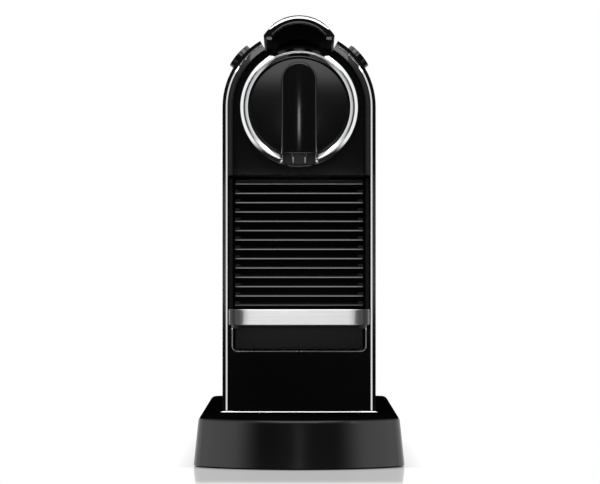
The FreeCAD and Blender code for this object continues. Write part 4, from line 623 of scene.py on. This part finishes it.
@dataclass
class Studio:
    """Camera, floor, background and lamps, in metres.

    The world is a white tent. Its wall, roof and foot are given as spans of a direction's Y or Z over which the
    white comes up from nothing.

    Attributes:
        soft: The world's level for plain surfaces.
        dim: The tent's level where it is open.
        shine_x, shine_y: The distances from the middle, and the Y, between which the floor starts to mirror.
        painted_shadow_reach: How far from an object the floor's glowing white is darkened as a painted contact
            shadow.
    """

    lens: float = 218.0
    sensor: float = 36.0
    eye: Place = (0.0, -2.386, 0.1307)
    shift: Span = (0.0015, 0.0208)
    far: float = 50.0
    white: tuple[float, ...] = (1.0, 1.0, 1.0, 1.0)
    soft: float = 0.4
    dim: float = 0.015
    wall: Span = (-0.83, -0.43)
    wall_level: float = 1.0
    roof: Span = (0.3, 0.75)
    roof_level: float = 1.6
    foot: Span = (-0.75, -0.5)
    floor_x: Span = (-0.078, 0.078)
    floor_y: Span = (-0.36, 0.34)
    floor_colour: tuple[float, ...] = (0.8, 0.8, 0.8, 1.0)
    floor_roughness: float = 0.5
    floor_ior: float = 1.45
    floor_shine: float = 0.75
    shine_y: Span = (-0.345, -0.28)
    shine_x: Span = (0.077, 0.069)
    painted_shadow_reach: float = 0.012

    def build(self) -> None:
        """Makes the whole studio."""
        scene = bpy.context.scene
        scene.view_settings.view_transform = "Standard"
        self._camera(scene)
        self._world(scene)
        self._floor(scene)
        for lamp in LAMPS:
            lamp.build()

    def _camera(self, scene: bpy.types.Scene) -> None:
        """A level camera straight in front, shifted to frame the machine.

        Args:
            scene: The scene that it looks at.
        """
        data = bpy.data.cameras.new("camera")
        data.lens, data.sensor_width = self.lens, self.sensor
        data.shift_x, data.shift_y = self.shift
        data.clip_end = self.far
        camera = bpy.data.objects.new("camera", data)
        camera.location = self.eye
        camera.rotation_euler = (math.pi / 2, 0.0, 0.0)
        scene.collection.objects.link(camera)
        scene.camera = camera

    def _world(self, scene: bpy.types.Scene) -> None:
        """White to the camera; metal and glass see the same white as a tent, open and dim in front and below.

        Args:
            scene: The scene that it lights.
        """
        world = bpy.data.worlds.new("studio")
        scene.world = world
        world.use_nodes = True
        world.node_tree.nodes.clear()
        nodes = Nodes(world.node_tree)
        _, depth, height = nodes.axes("Generated")
        wall = nodes.span(depth, self.wall, (0.0, self.wall_level), smooth=True)
        roof = nodes.span(height, self.roof, (0.0, self.roof_level), smooth=True)
        foot = nodes.span(height, self.foot, (0.0, 1.0), smooth=True)
        cloth = nodes.calc("MULTIPLY", nodes.calc("MAXIMUM", wall, roof), foot)
        tent = nodes.calc("MAXIMUM", cloth, self.dim)
        path = nodes.add("LightPath")
        level = nodes.span(nodes.mirrored(path), (0.0, 1.0), (self.soft, tent))
        seen = nodes.span(path.outputs["Is Camera Ray"], (0.0, 1.0), (level, 1.0))
        sky = nodes.add("Background", {"Color": self.white, "Strength": seen})
        nodes.add("OutputWorld", {"Surface": sky.outputs["Background"]})

    def _floor(self, scene: bpy.types.Scene) -> None:
        """A small pale floor that ends short of the camera.

        Args:
            scene: The scene that it stands in.
        """
        (left, right), (front, rear) = self.floor_x, self.floor_y
        mesh = bpy.data.meshes.new("floor")
        mesh.from_pydata([(left, front, 0.0), (left, rear, 0.0), (right, front, 0.0), (right, rear, 0.0)], [],
                         [(0, 2, 3, 1)])
        mesh.materials.append(self._floor_white())
        floor = bpy.data.objects.new("floor", mesh)
        scene.collection.objects.link(floor)

    def _floor_white(self) -> Material:
        """Pale to light; white to the camera and to mirrors, with a painted contact shadow near the machine, and a
        faint mirror in front.

        Returns:
            The node material.
        """
        material = bpy.data.materials.new("floor_white")
        material.use_nodes = True
        nodes = Nodes(material.node_tree)
        pale = material.node_tree.nodes["Principled BSDF"]
        nodes.feed(pale.inputs["Base Color"], self.floor_colour)
        nodes.feed(pale.inputs["Roughness"], self.floor_roughness)
        # Painted contact shadow: ambient occlusion darkens the floor's emitted white near the machine.
        near = nodes.add("AmbientOcclusion", {"Distance": self.painted_shadow_reach})
        glow = nodes.add("Emission", {"Color": near.outputs["Color"]})
        gloss = nodes.add("BsdfGlossy", {"Color": self.white, "Roughness": 0.0})
        across, depth, _ = nodes.axes()
        ahead = nodes.span(depth, self.shine_y, (0.0, self.floor_shine), smooth=True)
        aside = nodes.span(nodes.calc("ABSOLUTE", across), self.shine_x, (0.0, 1.0), smooth=True)
        shine = nodes.add("Fresnel", {"IOR": self.floor_ior}).outputs["Fac"]
        share = nodes.calc("MULTIPLY", nodes.calc("MULTIPLY", ahead, aside), shine)
        seen = nodes.add("MixShader", {"Fac": share, 1: glow.outputs["Emission"], 2: gloss.outputs["BSDF"]})
        path = nodes.add("LightPath")
        either = nodes.calc("MAXIMUM", path.outputs["Is Camera Ray"], nodes.mirrored(path))
        mix = nodes.add("MixShader", {"Fac": either, 1: pale.outputs["BSDF"], 2: seen.outputs["Shader"]})
        nodes.feed(material.node_tree.nodes["Material Output"].inputs["Surface"], mix.outputs["Shader"])
        return material


@dataclass
class Machine:
    """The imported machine, whose nodes get their finishes."""

    frame: dict

    def travel(self, name: str) -> float:
        """The upper end of a sliding joint's range, in millimetres."""
        return next(joint["range_m"][1] for joint in self.frame["joints"] if joint["name"] == name) / MM

    def dress(self, materials: dict[str, Material]) -> None:
        """Puts the finish of each node's slot on its object.

        Args:
            materials: The built material of every slot.
        """
        slots = {row["node"]: row["material_slot"] for row in self.frame["record"]["subparts"]}
        for name, thing in self.frame["nodes"].items():
            for place in thing.material_slots:
                place.material = materials[slots[name]]
            LOG.info("%s is finished in %s", name, slots[name])


@dataclass
class Piece:
    """What each finer piece shares: where it rides, what it stands for and its finish."""

    materials: dict[str, Material]

    def dress(self, thing: Object, body: str, slot: str, *nodes: str) -> None:
        """Gives a piece its finish, its body and the nodes that it stands for.

        Args:
            thing: The piece.
            body: The body that carries it.
            slot: The material slot.
            nodes: The CAD nodes that it replaces.
        """
        thing.data.materials.append(self.materials[slot])
        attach(thing, body)
        if nodes:
            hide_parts(*nodes)
        LOG.info("%s rides on %s", thing.name, body)


@dataclass
class RingAndDisc(Piece):
    """The chrome ring and the gloss disc inside it.

    Each point of the ring's front is given as how far it lies in from the ring's edge and back from its front.

    Attributes:
        ring_cuts: How far the corners of the ring's section are rounded, from the back's inner corner on.
        ring_fall: How far the ring's inner edge lies back from its front.
        disc_gap: The gap between the disc and the ring.
        disc_bow: How far the disc's edge lies back from its middle.
        disc_round: The radius of the disc's rim.
    """

    ring_edge: Span = (0.0, 1.75)
    ring_crest: Span = (2.3, 0.05)
    ring_groove: Span = (2.7, 0.9)
    ring_shelf: Span = (3.1, 0.5)
    ring_fall: float = 1.6
    ring_cuts: tuple[float, ...] = (0.1, 0.1, 0.5, 0.25, 0.15, 0.2, 0.4)
    ring_steps: int = 256
    disc_gap: float = 0.2
    disc_bow: float = 1.9
    disc_round: float = 0.6
    disc_rows: int = 40
    disc_steps: int = 192

    def build(self) -> None:
        """Builds and dresses both."""
        self.dress(self.ring(), "machine", "chrome", "chrome_ring")
        self.dress(self.disc(), "machine", "disc_gloss", "front_disc")

    def ring(self) -> Object:
        """Two sloping bands with a groove between them, turned about the disc's middle.

        Returns:
            The ring.
        """
        box, disc = Box.of("chrome_ring"), Box.of("front_disc")
        inner = disc.top - box.level + self.disc_gap
        bands = [(box.right - inwards, box.front + back) for inwards, back in (
            self.ring_edge, self.ring_crest, self.ring_groove, self.ring_shelf)]
        section = [(inner, box.back), (box.right, box.back), *bands, (inner, box.front + self.ring_fall)]
        loop = softened(section, self.ring_cuts)
        return turned("ring_of_chrome", loop, box.level, self.ring_steps)

    def disc(self) -> Object:
        """A flat dome: depth falls with the square of the radius, and the rim is a quarter round.

        Returns:
            The disc.
        """
        box, middle = Box.of("front_disc"), Box.of("chrome_ring").level
        edge, soft = box.top - middle, self.disc_round
        radius = np.linspace(0.0, edge - soft, self.disc_rows)
        dome = np.column_stack([radius, box.front + self.disc_bow * (radius / edge) ** 2])
        bend = np.linspace(0.0, np.pi / 2, 8)
        rim = np.column_stack([edge - soft + soft * np.sin(bend),
                               box.front + self.disc_bow + soft - soft * np.cos(bend)])
        back = np.array([[edge, box.back], [0.0, box.back]])
        return turned("disc_of_gloss", np.vstack([dome, rim, back]), middle, self.disc_steps)


@dataclass
class SpoutFront(Piece):
    """The spout's cover, and the collar and the two bright beads of the nozzle under it.

    Attributes:
        sink, set_back: How far the cover's back edge and its front lie behind the CAD cover's.
        crown: How far its front falls back towards its sides.
        edge, edge_share: The depth of its round edge, and its width as a share of the half width.
        flat_share: Where its flat front starts, as such a share.
        bow_height, bow_radius: The Z where its front stands out furthest, and the bow's radius.
        collar_inset, collar_proud: How far the collar lies in from the cover's sides, and ahead of the panel.
        collar_drop, collar_lap: How far it reaches below the nozzle, and up behind the cover.
        collar_edge, collar_edge_share: The depth of its round edge, and its width as a share.
        collar_flat: The shares between which its front runs flat to its middle.
        bead_inset, bead_proud: How far a bead lies in from the nozzle's side, and ahead of its front.
        bead_rise: Where a bead starts and ends above the nozzle's foot.
    """

    sink: float = 2.15
    set_back: float = 0.05
    crown: float = 1.5
    edge: float = 1.4
    edge_share: float = 0.1
    flat_share: float = 0.11
    bow_height: float = 235.0
    bow_radius: float = 680.0
    side_rows: int = 32
    turn_rows: int = 47
    flat_columns: int = 24
    collar_inset: float = 0.6
    collar_drop: float = 0.6
    collar_lap: float = 0.4
    collar_proud: float = 6.9
    collar_corners: Span = (2.4, 1.0)
    collar_edge: float = 0.8
    collar_edge_share: float = 0.16
    collar_flat: Span = (0.2, 1.0)
    collar_columns: int = 8
    bead_inset: float = 0.9
    bead_proud: float = 0.05
    bead_rise: Span = (0.6, 4.1)
    bead_radius: float = 0.32
    bead_rows: int = 12

    def build(self) -> None:
        """Builds and dresses the pieces."""
        self.dress(self.collar(), "machine", "nozzle_black")
        for side in Side:
            self.dress(self.bead(side), "machine", "steel")
        self.dress(self.cover(), "machine", "spout_gloss", "spout_cover")

    def bead(self, side: Side) -> Object:
        """A short bright rod that stands on the nozzle's front.

        Args:
            side: The side that it is on.

        Returns:
            The bead.
        """
        box = Box.of("outlet_nozzle")
        rise = box.foot + np.linspace(*self.bead_rise, self.bead_rows)
        path = grid(side.value * (box.right - self.bead_inset), box.front - self.bead_proud, rise)
        return rod_along(side.word + "_bead_of_nozzle", path, self.bead_radius)

    def collar(self) -> Object:
        """A low collar behind the nozzle: an outline with round corners that draws in over a soft front edge.

        The first parameter runs round the outline. The second runs from the panel to the front, over a quarter
        round and on to the middle.

        Returns:
            The collar.
        """
        spout, nozzle, panel = Box.of("spout_cover"), Box.of("outlet_nozzle"), Box.of("chrome_ring").back
        half, front = spout.right - self.collar_inset, panel - self.collar_proud
        low, top = nozzle.foot - self.collar_drop, spout.foot + self.collar_lap
        lower, upper = self.collar_corners
        loop = softened([(-half, low), (half, low), (half, top), (-half, top)], (lower, lower, upper, upper))
        bend = np.linspace(0.0, np.pi / 2, 6)
        inset = np.concatenate([[0.0], self.collar_edge_share * (1 - np.cos(bend)),
                                np.linspace(*self.collar_flat, self.collar_columns)])
        depth = np.concatenate([[panel], front + self.collar_edge * (1 - np.sin(bend)),
                                np.full(self.collar_columns, front)])
        middle = np.array([0.0, (low + top) / 2])
        flat = middle + (loop - middle)[:, None] * (1 - inset)[None, :, None]
        points = grid(flat[..., 0], depth[None, :], flat[..., 1])
        return surface("collar_of_nozzle", points, around=True)

    def cover(self) -> Object:
        """A bar with a round top: an outline that shrinks towards its middle line while it rises.

        The first parameter runs up one side, over the round top and down the other side. The second runs from
        the back edge up the side wall, round an edge, and on to the middle line. The front falls back with the
        square of X and, less, with the square of the height above or below its bow.

        Returns:
            The cover.
        """
        box = Box.of("spout_cover")
        half, top = box.right, box.top - box.right
        climb = np.linspace(box.foot, top, self.side_rows)
        turn = np.linspace(0.0, np.pi, self.turn_rows + 2)[1:-1]
        angle = np.concatenate([np.zeros(self.side_rows), turn, np.full(self.side_rows, np.pi)])
        middle = np.concatenate([climb, np.full(self.turn_rows, top), climb[::-1]])
        bend = np.linspace(0.0, np.pi / 2, 8)
        flat = np.linspace(self.flat_share, 1.0, self.flat_columns)
        inset = np.concatenate([[0.0], self.edge_share * (1 - np.cos(bend)), flat])
        behind = np.concatenate([self.edge * (1 - np.sin(bend)), np.zeros(self.flat_columns)])
        reach = half * (1 - inset)
        x = np.cos(angle)[:, None] * reach[None, :]
        z = middle[:, None] + np.sin(angle)[:, None] * reach[None, :]
        face = box.front + self.set_back + self.crown * (x / half) ** 2
        face = face + (z - self.bow_height) ** 2 / (2 * self.bow_radius)
        y = np.hstack([np.full((len(middle), 1), box.back + self.sink), face[:, 1:] + behind[None, :]])
        number = np.arange(x.size).reshape(x.shape)
        foot = number[0].tolist() + number[-1, ::-1].tolist()[1:]
        return surface("cover_of_spout", grid(x, y, z), caps=(number[::-1, 0].tolist(), foot))


@dataclass
class ShellTrim(Piece):
    """The thin bright strip along the front edge of each side shell.

    Attributes:
        proud: How far the front's inner corner stands ahead of the CAD strip.
        slope: How far the front's outer corner lies behind the inner one.
        tip_drop: How far the flat end lies behind the CAD strip's front.
        edge_cut, tip_cut, back_cut: How far the corners are rounded at the front, at the flat end and at the back.
    """

    width: float = 1.1
    proud: float = 0.5
    slope: float = 0.85
    edge_cut: float = 0.12
    tip_drop: float = 1.0
    tip_cut: float = 0.01
    back_cut: float = 0.05

    def build(self) -> None:
        """Builds and dresses both strips."""
        for side in Side:
            self.dress(self.strip(side), "machine", "trim_bright", side.word + "_trim_strip")

    def strip(self, side: Side) -> Object:
        """A narrow section whose front slopes outwards, carried up the side and along the arch.

        Half way along the arch its front turns flat and drops back.

        Args:
            side: The side that it is on.

        Returns:
            The strip.
        """
        box = Box.of("right_trim_strip")
        loop = self.section(box, box.front - self.proud, self.slope, self.edge_cut)
        tip = self.section(box, box.front + self.tip_drop, 0.0, self.tip_cut)
        return Arch.from_frame(box.foot).carry(side.word + "_bright_strip", loop, side, tip)

    def section(self, box: Box, front: float, slope: float, cut: float) -> np.ndarray:
        """A closed loop of four corners, whose front slopes back from its inner corner to its outer one."""
        outer, inner = box.right, box.right - self.width
        return softened([(inner, box.back), (outer, box.back), (outer, front + slope), (inner, front)],
                        (self.back_cut, self.back_cut, cut, cut))


@dataclass
class LeverEdge(Piece):
    """The chrome edge round the front of the lever's cap, and the black lip under it.

    Attributes:
        bow: The radius of the cap's bow.
        rise, proud: How far the edge stands above and ahead of the CAD edge.
        half_angle: Half of the edge's angle round the bow, in degrees.
        slack, thick: How far the edge lies inside the bow, and its height in its middle.
        rim, rim_proud: The share of that height at which the flat rim starts, and how far it stands out.
        edge_cuts: How far the corners of its section are rounded.
        end_fade, end_drop: What is left of the square of its height at its ends, and how far they drop.
        lip_drop, lip_proud: How far the lip's middle lies inside the bow, and ahead of the cap.
        lip_past: How far it reaches past the edge's ends, in degrees.
        lip_fade: How fast it gets thinner towards its ends.
    """

    bow: float = 26.35
    rise: float = 0.8
    half_angle: float = 47.0
    slack: float = 0.02
    thick: float = 2.1
    rim: float = 0.55
    rim_proud: float = 0.15
    proud: float = 0.2
    edge_cuts: tuple[float, ...] = (0.02, 0.02, 0.03, 0.02, 0.08)
    end_fade: float = 0.004
    end_drop: float = 0.9
    edge_rows: int = 96
    lip_drop: float = 4.6
    lip_radius: float = 0.9
    lip_proud: float = 0.1
    lip_past: float = 3.0
    lip_fade: float = 1.2
    lip_rows: int = 80
    lip_steps: int = 16

    def build(self) -> None:
        """Builds and dresses both pieces."""
        self.dress(self.edge(), "lever", "chrome", "lever_trim")
        self.dress(self.lip(), "lever", "lever_black")

    def lip(self) -> Object:
        """A round rod that follows the bow a little way under the chrome, thinner towards both ends.

        Returns:
            The lip.
        """
        box = Box.of("lever_trim")
        half, reach = self.half_angle + self.lip_past, self.bow - self.lip_drop
        angle = np.radians(np.linspace(-half, half, self.lip_rows))
        path = grid(reach * np.sin(angle), box.back - self.lip_proud,
                    box.top + self.rise - self.bow + reach * np.cos(angle))
        radius = self.lip_radius * np.sqrt(np.cos(angle * self.lip_fade))
        return rod_along("lip_of_lever", path, radius, self.lip_steps)

    def edge(self) -> Object:
        """A section along the cap's bow, thinner towards both ends.

        Its outer part is a narrow flat rim, and from there its front leans forward and inwards. The section's
        first value is its share of the thickness, from the inside out.

        Returns:
            The edge.
        """
        box = Box.of("lever_trim")
        face, front = box.back - self.rim_proud, box.front - self.proud
        loop = softened([(0.0, box.back), (1.0, box.back), (1.0, face), (self.rim, face), (0.0, front)],
                        self.edge_cuts)
        angle = np.radians(np.linspace(-self.half_angle, self.half_angle, self.edge_rows))[:, None]
        fade = np.sqrt(np.clip(1.0 - (angle / np.radians(self.half_angle)) ** 4, self.end_fade, 1.0))
        drop = self.thick * fade * (1.0 - loop[None, :, 0])
        reach = self.bow - self.slack - drop - self.end_drop * (1 - fade)
        centre = box.top + self.rise - self.bow
        points = grid(reach * np.sin(angle), loop[None, :, 1], centre + reach * np.cos(angle))
        return surface("edge_of_lever", points, along=True, ends=True)


@dataclass
class PanelRim(Piece):
    """The rounded rim that runs round the front panel, inside the bright strips.

    Its corners are given as how far they lie in from the panel's edge and ahead of its front.

    Attributes:
        cuts: How far the corners are rounded, from the root of the outer one on.
        lift: How far the rim starts above the panel's foot.
    """

    outer: Span = (0.25, 0.05)
    crest: Span = (3.4, 1.5)
    inner: Span = (4.2, -3.0)
    cuts: tuple[float, ...] = (0.05, 0.15, 0.5, 0.05)
    lift: float = 0.2

    def build(self) -> None:
        """Builds and dresses both halves."""
        for side in Side:
            self.dress(self.rim(side), "machine", "panel_black")

    def rim(self, side: Side) -> Object:
        """A bevel that rises inwards to a soft crest and falls to the panel, carried along the arch.

        Args:
            side: The side that it is on.

        Returns:
            The rim.
        """
        box = Box.of("front_panel")
        root = self.outer[0], self.inner[1]
        loop = softened([(box.right - inwards, box.front - ahead)
                         for inwards, ahead in (root, self.outer, self.crest, self.inner)], self.cuts)
        return Arch.from_frame(box.foot + self.lift).carry(side.word + "_rim_of_panel", loop, side)


@dataclass
class ModuleLines(Piece):
    """The thin lines along the edge of the recess in the module's front.

    Attributes:
        inset: How far the recess lies in from the panel's side.
        drop: How far it reaches below the panel's top.
        corner: The radius of its corners.
        gap: Half of the gap between the two lines.
    """

    inset: float = 2.8
    drop: float = 14.4
    corner: float = 3.2
    gap: float = 0.5
    radius: float = 0.36
    across_rows: int = 11
    corner_rows: int = 12
    side_rows: int = 6

    def build(self) -> None:
        """Builds and dresses the lines."""
        for side in Side:
            self.dress(self.edge(side), "module", "steel")

    def edge(self, side: Side) -> Object:
        """A thin round rod along half of the recess: across, round the corner and up.

        Args:
            side: The side that it is on.

        Returns:
            The rod.
        """
        box = Box.of("lower_front_panel")
        half, foot = box.right - self.inset, box.top - self.drop
        turn = np.linspace(-np.pi / 2, 0.0, self.corner_rows)
        out, low = half - self.corner, foot + self.corner
        x = np.concatenate([np.linspace(self.gap, out, self.across_rows + 1)[:-1], out + self.corner * np.cos(turn),
                            np.full(self.side_rows, half)])
        z = np.concatenate([np.full(self.across_rows, foot), low + self.corner * np.sin(turn),
                            np.linspace(low, box.top, self.side_rows + 1)[1:]])
        return rod_along(side.word + "_edge_of_recess", grid(side.value * x, box.front, z), self.radius)


@dataclass
class DeckBead(Piece):
    """The bright bead along the front of the deck, at the foot of the shells.

    Attributes:
        past: How far it reaches past the shells on each side.
        drop: How far its middle lies below the deck.
        ahead: How far its middle lies ahead of the shells.
        end_power: How suddenly it gets thinner at its ends.
        end_share: What is left of the square of its radius at its ends.
    """

    past: float = 1.2
    drop: float = 1.0
    ahead: float = 2.2
    radius: float = 0.85
    end_power: int = 24
    end_share: float = 0.001
    rows: int = 90
    steps: int = 20

    def build(self) -> None:
        """Builds and dresses the bead, a round rod across the front that is rounded off at both ends."""
        shell, plinth = Box.of("right_side_shell"), Box.of("base_plinth")
        half = shell.right + self.past
        x = np.linspace(-half, half, self.rows)
        path = grid(x, shell.front - self.ahead, plinth.top - self.drop)
        taper = self.radius * np.sqrt(1.0 + self.end_share - (np.abs(x) / half) ** self.end_power)
        self.dress(rod_along("bead_of_deck", path, taper, self.steps), "machine", "trim_bright")


@dataclass
class ValveSpring(Piece):
    """The coil spring inside the tank's valve, which in the machine shortens as the plunger lifts; this coil keeps
    its length.

    Attributes:
        lift: How far the plunger lifts; not used.
        wire: The wire's radius.
    """

    lift: float
    wire: float = 0.6
    turns: float = 3.0
    rows: int = 145

    def build(self) -> None:
        """Builds and dresses the spring, and gives it a mesh of its own."""
        box = Box.of("valve_spring")
        centre, tall = box.back - box.right, box.top - box.foot
        coil = self.coil(box, centre)
        self.dress(coil, "tank_valve", "steel", "valve_spring")
        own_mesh(coil)

    def coil(self, box: Box, centre: float) -> Object:
        """A round wire along a helix about a line along Z.

        Args:
            box: The CAD spring's box.
            centre: The line's Y.

        Returns:
            The coil.
        """
        turn = np.linspace(0.0, 2 * np.pi * self.turns, self.rows)
        out = grid(np.cos(turn), np.sin(turn), 0.0)
        rise = np.linspace(box.foot + self.wire, box.top - self.wire, self.rows)
        path = (box.right - self.wire) * out + grid(0.0, centre, rise)
        return rod_along("coil_of_valve", path, self.wire, out=out)


def corners(box: tuple) -> list[list[float]]:
    return [list(corner) for corner in box]


def main() -> None:
    """Builds the studio and the machine's looks."""
    logging.basicConfig(level=logging.INFO)
    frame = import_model()
    Studio().build()
    materials = {slot: finish.build() for slot, finish in FINISHES.items()}
    machine = Machine(frame)
    machine.dress(materials)
    for kind in (RingAndDisc, SpoutFront, ShellTrim, LeverEdge, PanelRim, ModuleLines, DeckBead):
        kind(materials).build()
    ValveSpring(materials, machine.travel("tank_valve_lift")).build()


if __name__ == "__main__":
    main()
